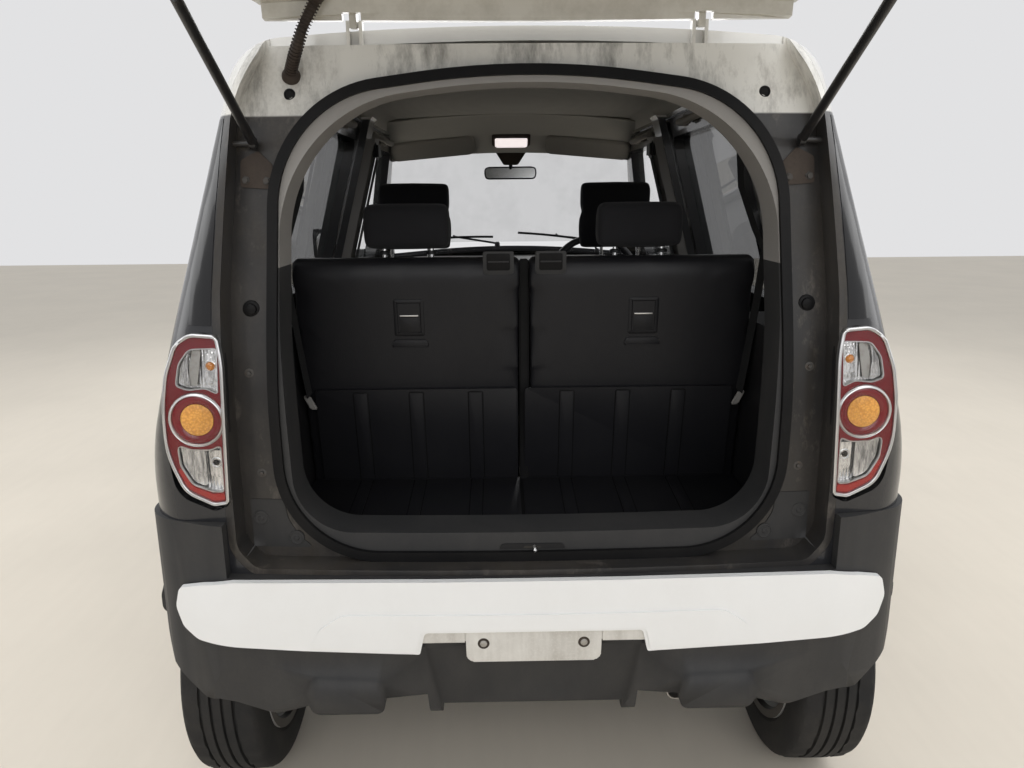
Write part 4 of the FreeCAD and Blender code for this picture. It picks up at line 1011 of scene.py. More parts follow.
class Skin:
    """The outside of CAD nodes, found by rays from behind, ahead, above or beside the car."""

    def __init__(self, *nodes: str) -> None:
        """Collect the triangles of some nodes at rest."""
        points: list[Vector] = []
        faces: list[tuple[int, ...]] = []
        for name in nodes:
            data = frame["nodes"][name].data
            start = len(points)
            points.extend(vertex.co.copy() for vertex in data.vertices)
            faces.extend(tuple(start + i for i in polygon.vertices) for polygon in data.polygons)
        self.tree = BVHTree.FromPolygons(points, faces)

    def hit(self, start: Vector, way: Vector) -> Vector | None:
        """Return where a ray first meets the nodes, or None."""
        return self.tree.ray_cast(start, way)[0]

    def behind(self, x: float, z: float, otherwise: float = 60.0) -> float:
        """Return the Y station of the surface seen from behind at a station (x, z)."""
        spot = self.hit(at(x, -400, z), AHEAD)
        return otherwise if spot is None else (spot.y - SHIFT_Y) * 1000

    def ahead(self, x: float, z: float, otherwise: float = 3350.0) -> float:
        """Return the Y station of the surface seen from the front at a station (x, z)."""
        spot = self.hit(at(x, 3900, z), BACK)
        return otherwise if spot is None else (spot.y - SHIFT_Y) * 1000

    def above(self, x: float, y: float, otherwise: float = 600.0) -> float:
        """Return the height of the surface seen from above at a station (x, y)."""
        spot = self.hit(at(x, y, 2200), -UP)
        return otherwise if spot is None else spot.z * 1000

    def beside(self, side: Side, y: float, z: float, otherwise: float = 700.0) -> float:
        """Return the half-width of the surface seen from one side at a station (y, z)."""
        spot = self.hit(at(side.value * 1200, y, z), Vector((-side.value, 0, 0)))
        return otherwise if spot is None else abs(spot.x) * 1000


@dataclass
class TailLamps:
    """Rear lamps: bright frame, red band, clear reflector rooms and the round lamp."""

    shop: Workshop
    outline: Outline = ((584, 1091, 40), (534, 1088, 15), (526, 1040, 300), (528, 940, 900), (534, 789, 12),
                        (562, 784, 24), (614, 808, 50), (642, 880, 200), (641, 960, 300), (632, 1020, 120),
                        (612, 1074, 40))
    upper_room: Outline = ((586, 1063, 20), (537, 1065, 6), (539, 988, 4), (560, 998, 30), (592, 994, 30),
                           (612, 1001, 8), (605, 1038, 30))
    lower_room: Outline = ((618, 896, 8), (616, 858, 30), (598, 824, 24), (562, 812, 10), (543, 812, 6),
                           (541, 896, 4), (560, 888, 30), (594, 888, 30))
    frame_steps: tuple[Pair, ...] = ((0.0, 9.0), (0.2, 1.4), (1.2, -0.4), (2.6, -0.8), (3.6, 0.8),
                                     (4.4, 0.9), (5.4, -0.2), (6.4, 0.6), (6.8, 12.0))
    rim_steps: tuple[Pair, ...] = ((-1.6, 4.0), (-1.2, 2.6), (0.2, 2.6), (0.8, 4.0), (1.0, 17.0))
    round_centre: Pair = (579.0, 942.0)
    round_radius: float = 44.0
    amber_radius: float = 28.5
    ring_from: float = 0.5335
    face_u: Pair = (541.0, 638.0)
    face_v: Pair = (792.0, 1076.0)
    turn_back: float = 0.9

    def build(self) -> None:
        """Make both lamps."""
        self.skin = Skin("tail_lamps")
        for side in Side:
            self.lamp(side)
        LOG.info("tail lamps made")

    def place(self, side: Side, depth: float) -> Place:
        """Return a function that lays points on the lamp's face, at a depth under it."""
        def laid(u: float, v: float, more: float) -> Vector:
            """Place a point of the lamp."""
            face = self.skin.behind(side.value * held(u, self.face_u), held(v, self.face_v))
            extra = max(u - self.face_u[1], 0) * self.turn_back
            return at(side.value * u, face + extra + depth + more, v)
        return laid

    def put(self, name: str, side: Side, mesh: bmesh.types.BMesh, finish: str,
            smooth: float = 40) -> bpy.types.Object:
        """Add one piece of a lamp."""
        return self.shop.piece(f"lamp_{name}_{side.word}", mesh, finish, "lamp_lens", smooth=smooth)

    def lamp(self, side: Side) -> None:
        """Make one lamp from its tray out to its cover."""
        whole = rounded(self.outline, 9)
        tray = self.put("tray", side, draped(offset(whole, 2), self.place(side, 24), 6, 14),
                        "black_plastic")
        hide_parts("tail_lamps")
        self.put("frame", side, self.walled(whole, side, self.frame_steps), "lamp_silver", 50)
        rooms = [rounded(room, 6) for room in (self.upper_room, self.lower_room)]
        disc = [(self.round_centre[0] + (self.round_radius + 4) * math.cos(k * math.pi / 24),
                 self.round_centre[1] + (self.round_radius + 4) * math.sin(k * math.pi / 24))
                for k in range(48)]
        inner = [(max(u, 0), v) for u, v in offset(whole, 6.5)]
        self.put("band", side, self.field(side, inner, [*rooms, self.kept_inside(disc, inner)], 4.0),
                 "lens_red")
        foot = rounded([(543, 809, 3), (541, 797, 5), (564, 795, 10), (606, 816, 20), (622, 850, 20),
                        (616, 854, 4), (598, 820, 20), (562, 807, 10)], 6)
        self.put("foot", side, draped(foot, self.place(side, 3.0), 1.5, 8), "lens_red_bright")
        for name, room in zip(("upper", "lower"), rooms):
            self.put(f"rim_{name}", side, self.walled(room, side, self.rim_steps), "lamp_silver", 60)
            self.put(f"bowl_{name}", side, draped(offset(room, -1), self.place(side, 17), 2, 8),
                     "reflector")
        self.reeds(side)
        self.bulbs(side)
        self.rounds(side)
        self.put("cover", side, draped(offset(whole, 6), self.place(side, 0.2), 1.6, 12), "lens_clear")

    @staticmethod
    def kept_inside(loop: Sequence[Pair], field_outline: Sequence[Pair]) -> list[Pair]:
        """Return the round's loop pulled in where it would cross the frame's inner side."""
        inner_side = min(u for u, _ in field_outline) + 2.5
        return [(max(u, inner_side), v) for u, v in loop]

    def walled(self, loop: Sequence[Pair], side: Side, steps: Sequence[Pair]) -> bmesh.types.BMesh:
        """Return a band round a loop, through steps of distance inward and depth."""
        mesh = bmesh.new()
        rows = []
        for inward, depth in steps:
            put = self.place(side, depth)
            rows.append([mesh.verts.new(put(u, v, 0)) for u, v in offset(loop, inward)])
        stitch(mesh, rows)
        return mesh

    def field(self, side: Side, outer: Sequence[Pair], holes: Sequence[Sequence[Pair]],
              depth: float) -> bmesh.types.BMesh:
        """Return a plate inside an outline with holes through it, laid under the lamp's face."""
        flat = bmesh.new()
        edges = []
        for loop in [list(outer), *holes]:
            corners = [flat.verts.new((u, v, 0)) for u, v in loop]
            edges += [flat.edges.new((corners[i - 1], corners[i])) for i in range(len(corners))]
        bmesh.ops.triangle_fill(flat, use_beauty=True, use_dissolve=False, edges=edges)
        return thickened(flat, self.place(side, depth), 2.5)

    def reeds(self, side: Side) -> None:
        """Make the fluted bowls and the dark curved divider of the clear rooms."""
        upper = rounded([(588, 1060, 14), (596, 1046, 20), (603, 1034, 20), (609, 1004, 6), (592, 997, 20),
                         (588, 998, 4), (592, 1030, 60)], 6)
        self.put("flutes_upper", side, draped(upper, self.place(side, 9), 2, 6), "reflector_fluted")
        divider = rounded([(583, 1060, 3), (568, 1061, 3), (572, 1030, 60), (577, 1000, 3), (589, 999, 3),
                           (590, 1030, 60)], 6)
        self.put("divider", side, draped(divider, self.place(side, 12), 2, 6), "steel")
        lower = rounded([(615, 892, 4), (613, 860, 30), (596, 828, 20), (572, 817, 10), (572, 890, 4)], 6)
        self.put("flutes_lower", side, draped(lower, self.place(side, 9), 2, 6), "reflector_fluted")

    def bulbs(self, side: Side) -> None:
        """Make the bulbs in their bright seats."""
        seats = (
            ("upper", [(539, 1054, 4), (560, 1056, 6), (562, 1012, 6), (540, 1006, 4)], (551.0, 1034.0)),
            ("lower", [(543, 886, 4), (565, 886, 6), (566, 838, 6), (544, 836, 4)], (553.0, 864.0)))
        for name, corners, (u, v) in seats:
            seat = draped(rounded(corners, 5), self.place(side, 10), 4, 7)
            self.put(f"seat_{name}", side, seat, "reflector")
            collar = lathe([(4, 7.5), (-0.5, 7.5), (-1.2, 8.4), (-0.6, 9.6), (4, 10.4)],
                           self.place(side, 10)(u, v, 0), AHEAD, 28)
            self.put(f"collar_{name}", side, collar, "lamp_silver")
        u, v = seats[0][2]
        bulb = lathe([(0, 0), (1.5, 5), (5, 7.6), (9, 8.0), (12, 7)], self.place(side, 4)(u, v, 0),
                     AHEAD, 22)
        self.put("bulb_amber", side, bulb, "bulb_amber")
        u, v = seats[1][2]
        cap = lathe([(0, 0), (0.4, 3.6), (2.4, 4.6), (4, 7.2), (6, 7.4)], self.place(side, 7)(u, v, 0),
                    AHEAD, 22)
        self.put("bulb_holder", side, cap, "under_black")

    def rounds(self, side: Side) -> None:
        """Make the round lamp: bright ring, red ring and amber middle."""
        u, v = self.round_centre
        face = self.place(side, 0)(u, v, 0)
        r = self.round_radius
        bright = lathe([(14, r - 1.5), (0.6, r - 1.5), (-1.0, r - 0.2), (-0.4, r + 1.6), (1.6, r + 3.0),
                        (1.0, r + 3.8), (5, r + 4.6)], face, AHEAD, 64)
        for vertex in bright.verts:
            vertex.co.x = side.value * max(abs(vertex.co.x), self.ring_from)
        self.put("ring", side, bright, "lamp_silver", 50)
        red = lathe([(12, r - 1.6), (3, r - 1.6), (1.4, r - 6), (1.8, self.amber_radius + 5),
                     (4, self.amber_radius + 0.4), (12, self.amber_radius)], face, AHEAD, 64)
        self.put("red", side, red, "lens_red")
        a = self.amber_radius
        dome = lathe([(10, a), (3.4, a - 0.4), (2.2, a * 0.8), (1.2, a * 0.5), (0.8, a * 0.2), (0.7, 0)],
                     face, AHEAD, 48)
        self.put("amber", side, dome, "lens_amber")


@dataclass
class Tyres:
    """Road tyres with grooved treads in place of the plain CAD tyres."""

    shop: Workshop
    radius: float = 289.5
    groove_at: tuple[float, ...] = (-34.0, -11.5, 11.5, 34.0)
    groove_width: float = 7.0
    groove_depth: float = 7.0
    steps: int = 96

    def profile(self) -> list[Pair]:
        """Return the tyre's section from the inner bead over the tread to the outer bead."""
        side = [(-71, 193), (-72, 206), (-79, 213), (-82, 232), (-82, 247), (-79, 264), (-75, 276),
                (-69, 283), (-60, 287.2)]
        tread: list[Pair] = []
        for middle in self.groove_at:
            crown = self.radius - 0.0007 * middle * middle
            half = self.groove_width / 2
            tread += [(middle - half, crown), (middle - half + 1.2, crown - self.groove_depth),
                      (middle + half - 1.2, crown - self.groove_depth), (middle + half, crown)]
        return side + tread + [(-x, r) for x, r in reversed(side)]

    def build(self) -> None:
        """Make the four tyres and their tread blocks."""
        for place in ("front", "rear"):
            for side in Side:
                node = f"tyre_{place}_{side.word}"
                low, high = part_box(node)
                centre = (low + high) / 2
                closed = self.profile()
                mesh = lathe(closed, centre, ACROSS, self.steps, closed=True)
                self.cut_blocks(mesh, centre)
                tyre = self.shop.piece(f"road_{node}", mesh, "tyre_rubber",
                                       body=f"wheel_{place}_{side.word}", smooth=30)
                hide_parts(node)
        LOG.info("tyres made")

    def cut_blocks(self, mesh: bmesh.types.BMesh, centre: Vector) -> None:
        """Press slanted sipes into the shoulder ribs."""
        for vertex in mesh.verts:
            spot = vertex.co - centre
            reach = math.hypot(spot.y, spot.z)
            if reach > 0.2855 and abs(spot.x) > 0.036:
                turn = math.atan2(spot.z, spot.y) * self.steps / (2 * math.pi)
                if round(turn + (spot.x > 0)) % 3 == 0:
                    scale = (reach - 0.0045) / reach
                    vertex.co.y = centre.y + spot.y * scale
                    vertex.co.z = centre.z + spot.z * scale


class Repeater:
    """Geometry Nodes trees for parts that repeat along a line or a path."""

    def __init__(self, shop: Workshop) -> None:
        """Keep the workshop and build the two trees."""
        self.shop = shop
        self.row = self.row_tree()
        self.path = self.path_tree()

    @staticmethod
    def start_tree(name: str, inputs: Sequence[tuple[str, str, object]]) -> NamedTree:
        """Start a tree with named inputs.

        Args:
            name: The tree's name.
            inputs: Each input's name, socket type and default.

        Returns:
            The tree, and each input's identifier by its name.
        """
        tree = bpy.data.node_groups.new(name, "GeometryNodeTree")
        tree.interface.new_socket("Geometry", in_out="INPUT", socket_type="NodeSocketGeometry")
        tree.interface.new_socket("Geometry", in_out="OUTPUT", socket_type="NodeSocketGeometry")
        identifiers = {}
        for label, kind, default in inputs:
            socket = tree.interface.new_socket(label, in_out="INPUT", socket_type=kind)
            if default is not None:
                socket.default_value = default
            identifiers[label] = socket.identifier
        return tree, identifiers

    @staticmethod
    def close_tree(tree: bpy.types.NodeTree, given: bpy.types.Node,
                   instances: bpy.types.NodeSocket) -> None:
        """End a tree in Realize Instances and Set Material."""
        realize = tree.nodes.new("GeometryNodeRealizeInstances")
        dress = tree.nodes.new("GeometryNodeSetMaterial")
        result = tree.nodes.new("NodeGroupOutput")
        tree.links.new(instances, realize.inputs[0])
        tree.links.new(realize.outputs[0], dress.inputs["Geometry"])
        tree.links.new(given.outputs["Finish"], dress.inputs["Material"])
        tree.links.new(dress.outputs[0], result.inputs[0])

    @staticmethod
    def wire(tree: bpy.types.NodeTree, *links: tuple[bpy.types.Node, str, bpy.types.Node, str]) -> None:
        """Link nodes, each link a source, its output, a target and its input."""
        for source, output, target, entry in links:
            tree.links.new(source.outputs[output], target.inputs[entry])

    def row_tree(self) -> NamedTree:
        """Return the tree that repeats a part along a straight line."""
        tree, names = self.start_tree("parts_in_a_row", [
            ("Part", "NodeSocketObject", None), ("Count", "NodeSocketInt", 2),
            ("Start", "NodeSocketVector", (0, 0, 0)), ("Step", "NodeSocketVector", (0.1, 0, 0)),
            ("Finish", "NodeSocketMaterial", None)])
        given, line, part, put = (tree.nodes.new(kind) for kind in (
            "NodeGroupInput", "GeometryNodeMeshLine", "GeometryNodeObjectInfo",
            "GeometryNodeInstanceOnPoints"))
        self.wire(tree, (given, "Count", line, "Count"), (given, "Start", line, "Start Location"),
                  (given, "Step", line, "Offset"), (given, "Part", part, "Object"),
                  (line, "Mesh", put, "Points"), (part, "Geometry", put, "Instance"))
        self.close_tree(tree, given, put.outputs["Instances"])
        return tree, names

    def path_tree(self) -> NamedTree:
        """Return the tree that repeats a part along the object's own edges, turned to follow them."""
        tree, names = self.start_tree("parts_on_a_path", [
            ("Part", "NodeSocketObject", None), ("Spacing", "NodeSocketFloat", 0.01),
            ("Finish", "NodeSocketMaterial", None)])
        given, curve, points, part, put = (tree.nodes.new(kind) for kind in (
            "NodeGroupInput", "GeometryNodeMeshToCurve", "GeometryNodeCurveToPoints",
            "GeometryNodeObjectInfo", "GeometryNodeInstanceOnPoints"))
        points.mode = "LENGTH"
        self.wire(tree, (given, "Geometry", curve, "Mesh"), (curve, "Curve", points, "Curve"),
                  (given, "Spacing", points, "Length"), (given, "Part", part, "Object"),
                  (points, "Points", put, "Points"), (points, "Rotation", put, "Rotation"),
                  (part, "Geometry", put, "Instance"))
        self.close_tree(tree, given, put.outputs["Instances"])
        return tree, names

    def bake(self, name: str, base: bpy.types.Mesh, made: NamedTree, part: bmesh.types.BMesh,
             values: dict[str, object], finish: str) -> bpy.types.Object:
        """Return the tree's result as a plain piece.

        Args:
            name: The piece's name.
            base: Mesh that the tree starts from.
            made: The tree and its inputs' identifiers.
            part: The part that repeats, about the origin.
            values: Values of the tree's inputs by name.
            finish: The finish of all its parts.

        Returns:
            The finished piece.
        """
        tree, names = made
        pattern = linked(name + "_part", baked(name + "_part", part))
        carrier = linked(name + "_carrier", base)
        modifier = carrier.modifiers.new("repeat", "NODES")
        modifier.node_group = tree
        modifier[names["Part"]] = pattern
        modifier[names["Finish"]] = self.shop.finishes[finish]
        for label, value in values.items():
            modifier[names[label]] = value
        plain = evaluated(carrier)
        carrier.modifiers.remove(modifier)
        bpy.data.objects.remove(carrier)
        bpy.data.objects.remove(pattern)
        return self.shop.piece(name, plain, finish)

    def in_row(self, name: str, part: bmesh.types.BMesh, start: Vector, step: Vector, count: int,
               finish: str) -> bpy.types.Object:
        """Repeat a part count times from start, each a step on."""
        base = bpy.data.meshes.new(name)
        values = {"Count": count, "Start": tuple(start), "Step": tuple(step)}
        return self.bake(name, base, self.row, part, values, finish)

    def on_path(self, name: str, part: bmesh.types.BMesh, points: Sequence[Vector], spacing: float,
                finish: str) -> bpy.types.Object:
        """Repeat a part along a path at a spacing in millimetres; the part's Z follows the path."""
        base = bpy.data.meshes.new(name)
        base.from_pydata([tuple(p) for p in points], [(i, i + 1) for i in range(len(points) - 1)], [])
        return self.bake(name, base, self.path, part, {"Spacing": spacing / 1000}, finish)


@dataclass
class Padding:
    """Upholstery: rounded forms swelled by a cloth simulation, with sewn channels."""

    shop: Workshop
    voxel: float = 0.010
    pressure: float = 4.0
    frames: int = 14
    channel_width: float = 0.0055
    channel_depth: float = 0.0045

    def form(self, name: str, outline: Outline, span: Pair, shrink: float,
             bevel: float) -> bpy.types.Object:
        """Return a rounded block from a side outline (Y, Z), a little smaller than its room."""
        points = offset(rounded(outline, 6), shrink)
        mesh = slab(points, lambda u, v, d: at(d, u, v), span[0] + shrink, span[1] - shrink, bevel, 4)
        bmesh.ops.recalc_face_normals(mesh, faces=mesh.faces)
        made = linked(name, baked(name, mesh))
        remesh = made.modifiers.new("remesh", "REMESH")
        remesh.mode = "VOXEL"
        remesh.voxel_size = self.voxel
        self.apply(made)
        return made

    @staticmethod
    def apply(piece: bpy.types.Object) -> None:
        """Turn a piece's modifiers into its mesh."""
        plain = evaluated(piece)
        piece.modifiers.clear()
        piece.data = plain

    def swell(self, piece: bpy.types.Object, cap: float) -> None:
        """Swell a form as filled cloth, no point moving more than cap millimetres."""
        rest = [vertex.co.copy() for vertex in piece.data.vertices]
        cloth = piece.modifiers.new("cloth", "CLOTH")
        settings = cloth.settings
        settings.use_pressure = True
        settings.uniform_pressure_force = self.pressure
        settings.effector_weights.gravity = 0.0
        settings.quality = 4
        settings.mass = 0.3
        cloth.point_cache.frame_start = 1
        cloth.point_cache.frame_end = self.frames
        for step in range(1, self.frames + 1):
            bpy.context.scene.frame_set(step)
        self.apply(piece)
        bpy.context.scene.frame_set(1)
        limit = cap / 1000
        for vertex, start in zip(piece.data.vertices, rest):
            way = vertex.co - start
            if way.length > limit:
                vertex.co = start + way.normalized() * limit

    def sew(self, piece: bpy.types.Object, finish: str,
            grooves: Sequence[tuple[Vector, Vector]]) -> None:
        """Subdivide a form, press its sewn channels and put it on the body.

        Args:
            piece: The swelled form.
            finish: Its cloth.
            grooves: Planes of its channels, each a point and a normal.
        """
        division = piece.modifiers.new("subdivide", "SUBSURF")
        division.levels = division.render_levels = 1
        self.apply(piece)
        normals = [vertex.normal.copy() for vertex in piece.data.vertices]
        for vertex, normal in zip(piece.data.vertices, normals):
            press = 0.0
            for point, way in grooves:
                gap = abs((vertex.co - point).dot(way))
                press = max(press, math.exp(-(gap / self.channel_width) ** 2))
            if press > 0.01:
                vertex.co -= normal * (press * self.channel_depth)
        for polygon in piece.data.polygons:
            polygon.use_smooth = True
        self.shop.finishes.dress(piece, finish)
        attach(piece, "root")

    def cushion(self, name: str, outline: Outline, span: Pair, form: Pair, cap: float, finish: str,
                fill: float, grooves: Sequence[tuple[Vector, Vector]] = ()) -> bpy.types.Object:
        """Make a cushion from a side outline.

        Args:
            name: The piece's name.
            outline: Its corners (Y, Z, radius), in millimetres.
            span: Stations of its two sides.
            form: How much smaller the form is than its room, and the width of its rounded rims.
            cap: The most that the cloth may swell, in millimetres.
            finish: Its cloth.
            fill: How full it is, from 0 to 1; not used.
            grooves: Planes of its sewn channels, each a point and a normal.

        Returns:
            The finished cushion.
        """
        piece = self.form(name, outline, span, *form)
        self.swell(piece, cap)
        self.sew(piece, finish, grooves)
        return piece


@dataclass
class RearSeats:
    """Split rear seat: hard-backed rests, latches, headrests and cushions."""

    shop: Workshop
    padding: Padding
    middle: float = 256.0
    half: float = 250.0
    back_outline: Outline = ((508, 602, 18), (452, 905, 0), (420, 1196, 34), (520, 1190, 50),
                             (600, 602, 30))
    cushion_outline: Outline = ((530, 482, 14), (520, 620, 30), (1010, 640, 50), (1020, 482, 40))
    head_outline: Outline = ((462, 1199, 24), (455, 1302, 36), (528, 1304, 36), (542, 1201, 26))

    def build(self) -> None:
        """Make both halves."""
        for side in reversed(Side):
            word, x = side.word, side.value * self.middle
            whole = (x - self.half, x + self.half)
            back = self.padding.cushion(f"rear_back_{word}", self.back_outline, whole, (3, 20), 5,
                                        "vinyl_black", 0.9)
            seams = [(at(x, 770, 600), AHEAD), (at(x - 120, 770, 600), ACROSS),
                     (at(x + 120, 770, 600), ACROSS)]
            self.padding.cushion(f"rear_cushion_{word}", self.cushion_outline, whole, (9, 34), 12,
                                 "seat_cloth", 0.8, seams)
            self.padding.cushion(f"rear_headrest_{word}", self.head_outline, (x - 97, x + 97), (4, 22), 6,
                                 "seat_side", 0.85)
            feet = [x - 52, x + 52]
            posts = join(tube([at(u, 495, 1150), at(u, 497, 1212)], 5.5, 14) for u in feet)
            self.shop.piece(f"rear_headrest_posts_{word}", posts, "chrome")
            collar = [(0, 0), (0, 13), (6, 12), (8, 7), (8, 0)]
            collars = join(lathe(collar, at(u, 495, 1190), UP, 20) for u in feet)
            self.shop.piece(f"rear_headrest_collars_{word}", collars, "black_plastic")
            if side is Side.LEFT:
                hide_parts("rear_seats")
            self.latch(x, word)
            self.catch(x, word)
        # Dark rubber bar filling the gap between the two rests: painted shade in that gap.
        gap = block((-11, 478, 655), (11, 500, 1178), 3)
        self.shop.piece("rest_gap_cover", gap, "seal_rubber")
        LOG.info("rear seats made")

    @staticmethod
    def on_rest(mid: float) -> Place:
        """Return a function that lays points on the rests' sloping rear face, about a station."""
        return lambda u, v, d: at(mid + u, 452 - (v - 905) * 32 / 291 + d, v)

    def catch(self, x: float, word: str) -> None:
        """Make the strap guide at the rest's upper inner corner."""
        put = self.on_rest(math.copysign(56.0, x))
        rim = rounded([(-33, 1150, 9), (33, 1150, 9), (33, 1199, 4), (-33, 1199, 4)])
        well = rounded([(-25, 1159, 4), (25, 1159, 4), (25, 1195, 3), (-25, 1195, 3)])
        self.shop.piece(f"rest_guide_{word}", slab(rim, put, -4.0, 4.0, 2.0), "sill_grey")
        self.shop.piece(f"rest_guide_well_{word}", slab(well, put, -5.0, 2.0, 0.8), "seal_rubber")
        bar = slab([(-22, 1176), (22, 1176), (22, 1179), (-22, 1179)], put, -6.5, 0.0, 0.8)
        self.shop.piece(f"rest_guide_bar_{word}", bar, "sill_grey")

    def latch(self, x: float, word: str) -> None:
        """Make the release handle in its frame on the back of a rest."""
        put = self.on_rest(x + 4)
        z0, z1 = 1016, 1098
        rim = rounded([(-33, z0, 6), (33, z0, 6), (33, z1, 6), (-33, z1, 6)], 5)
        hole = offset(rim, 9)
        mesh = bmesh.new()
        rows = []
        for loop, depth in ((rim, 2.5), (rim, -2.5), (offset(rim, 2), -4), (offset(rim, 7), -4), (hole, -2),
                            (hole, 6)):
            rows.append([mesh.verts.new(put(u, v, depth)) for u, v in loop])
        stitch(mesh, rows)
        mesh.faces.new(rows[-1])
        self.shop.piece(f"rest_latch_frame_{word}", mesh, "black_plastic", smooth=40)
        grip = slab(rounded([(-22, 1024, 4), (22, 1024, 4), (22, 1058, 4), (-22, 1058, 4)]), put, -3.0, 3.0,
                    1.5)
        self.shop.piece(f"rest_latch_grip_{word}", grip, "black_plastic")
        bar = slab([(-20, 1060), (20, 1060), (20, 1063), (-20, 1063)], put, -3.4, 2.0, 0.6)
        self.shop.piece(f"rest_latch_bar_{word}", bar, "lamp_silver", "rod_steel")
        lip = slab(rounded([(-42, 990, 5), (42, 990, 5), (36, 1008, 8), (-36, 1008, 8)]), put, -5.0, 2.0,
                   3.0)
        self.shop.piece(f"rest_latch_lip_{word}", lip, "vinyl_black", "seat_fabric")


@dataclass
class FrontSeats:
    """Front seats with bolsters, headrests and posts."""

    shop: Workshop
    padding: Padding
    middle: float = 345.0
    cushion_outline: Outline = ((1500, 474, 50), (1490, 590, 50), (1960, 620, 60), (1970, 484, 60))
    back_outline: Outline = ((1512, 604, 30), (1420, 594, 40), (1316, 1120, 44), (1400, 1140, 44))
    head_outline: Outline = ((1325, 1136, 30), (1292, 1356, 48), (1372, 1366, 48), (1392, 1146, 30))

    def build(self) -> None:
        """Make both seats."""
        for side in reversed(Side):
            word, x = side.word, side.value * self.middle
            sides = [(at(x - 150, 1700, 600), ACROSS), (at(x + 150, 1700, 600), ACROSS)]
            self.padding.cushion(f"front_cushion_{word}", self.cushion_outline, (x - 240, x + 240),
                                 (10, 34), 14, "seat_cloth", 0.8, [*sides, (at(x, 1760, 600), AHEAD)])
            back = self.padding.cushion(f"front_back_{word}", self.back_outline, (x - 220, x + 220),
                                        (8, 32), 12, "seat_cloth", 0.85, [*sides, (at(x, 1400, 980), UP)])
            inner = x - side.value * 20.0
            self.padding.cushion(f"front_headrest_{word}", self.head_outline, (inner - 116, inner + 116),
                                 (4, 34), 8, "seat_cloth", 0.85)
            posts = join(tube([at(x + dx, 1352, 1095), at(x + dx, 1350, 1200)], 5.5, 14)
                         for dx in (-60, 60))
            self.shop.piece(f"front_headrest_posts_{word}", posts, "chrome")
            starts = [x - 198, x + 172]
            rails = join([block((u, 1520, 266), (u + 26, 1930, 300), 3) for u in starts]
                         + [block((u + 3, 1600, 296), (u + 23, 1860, 490), 6) for u in starts])
            self.shop.piece(f"front_seat_rails_{word}", rails, "under_black")
            if side is Side.LEFT:
                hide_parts("front_seats")
        LOG.info("front seats made")


@dataclass
class LuggageFloor:
    """Ribbed boards of the luggage floor and of the rests' feet."""

    shop: Workshop
    repeater: Repeater
    board_z: float = 640.0
    board_rise: float = 0.085
    rib_rows: tuple[float, ...] = (-381.0, -256.0, -123.0, 83.0, 209.0, 334.0)

    def build(self) -> None:
        """Make the boards, their ribs and the hooks at their rear edge."""
        for word, x0, x1 in (("left", -494.0, -12.0), ("right", -4.0, 494.0)):
            floor = slab(rounded([(x0, 208, 16), (x1, 208, 16), (x1, 486, 4), (x0, 486, 4)]),
                         self.floor_face, 0.0, 8.0, 2.5)
            piece = self.shop.piece(f"floor_board_{word}", floor, "vinyl_black")
            x0p, x1p = (x0 + 24, -16.0) if word == "left" else (0.0, x1 - 24)
            panel = slab(rounded([(x0p, 648, 4), (x1p, 648, 4), (x1p, 894, 8), (x0p, 894, 8)]),
                         self.panel_face, -1.2, 6.0, 2.0)
            cover = self.shop.piece(f"rest_board_{word}", panel, "vinyl_black")
            if word == "left":
                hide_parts("luggage_board")
                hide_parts("seat_panels")
        # Dark strip under the gap between the two boards: painted shade in that gap.
        board_gap_shade = slab([(-18, 210), (2, 210), (2, 484), (-18, 484)], self.floor_face, 2.5, 8.0, 0.5)
        self.shop.piece("floor_seam", board_gap_shade, "seal_rubber")
        for i, x in enumerate(self.rib_rows):
            strip = rounded([(x - 3, 652, 2), (x + 27, 652, 2), (x + 27, 886, 3), (x - 3, 886, 3)])
            # Dark rubber outline round each rest rib, a little wider than the rib: painted shade in the
            # grooves beside it.
            well = offset(strip, -2.6)
            self.shop.piece(f"rest_rib_well_{i}", slab(well, self.panel_face, -1.7, 0.0, 0.3),
                            "seal_rubber")
            self.shop.piece(f"rest_rib_{i}", slab(strip, self.panel_face, -3.4, 0.0, 1.4), "vinyl_black")
            run = rounded([(x - 1, 236, 2), (x + 25, 236, 2), (x + 25, 474, 2), (x - 1, 474, 2)])
            # Dark rubber outline round each floor rib: painted shade in the grooves beside it.
            self.shop.piece(f"floor_rib_well_{i}", slab(offset(run, -2.4), self.floor_face, -0.5, 2.0, 0.2),
                            "seal_rubber")
            self.shop.piece(f"floor_rib_{i}", slab(run, self.floor_face, -2.2, 2.0, 1.0), "vinyl_black")
        for word, x in (("left", -344.0), ("right", 90.0)):
            hook = block((-21, -SHIFT_Y * 1000, 0), (21, 9 - SHIFT_Y * 1000, 5), 1.5)
            self.repeater.in_row(f"floor_clips_{word}", hook, at(x, 212, self.board_z + 4.5),
                                 Vector((0.1193, 0, 0)), 3, "sill_grey")
        LOG.info("luggage floor made")

    def floor_face(self, u: float, v: float, d: float) -> Vector:
        """Return a point on the floor boards, which rise towards the rests."""
        return at(u, v, self.board_z + 4 + (v - 208) * self.board_rise - d)

    @staticmethod
    def panel_face(u: float, v: float, d: float) -> Vector:
        """Return a point on the rear face of the rests' lower boards."""
        return at(u, 489.5 - (v - 640) * 0.18 + d, v)


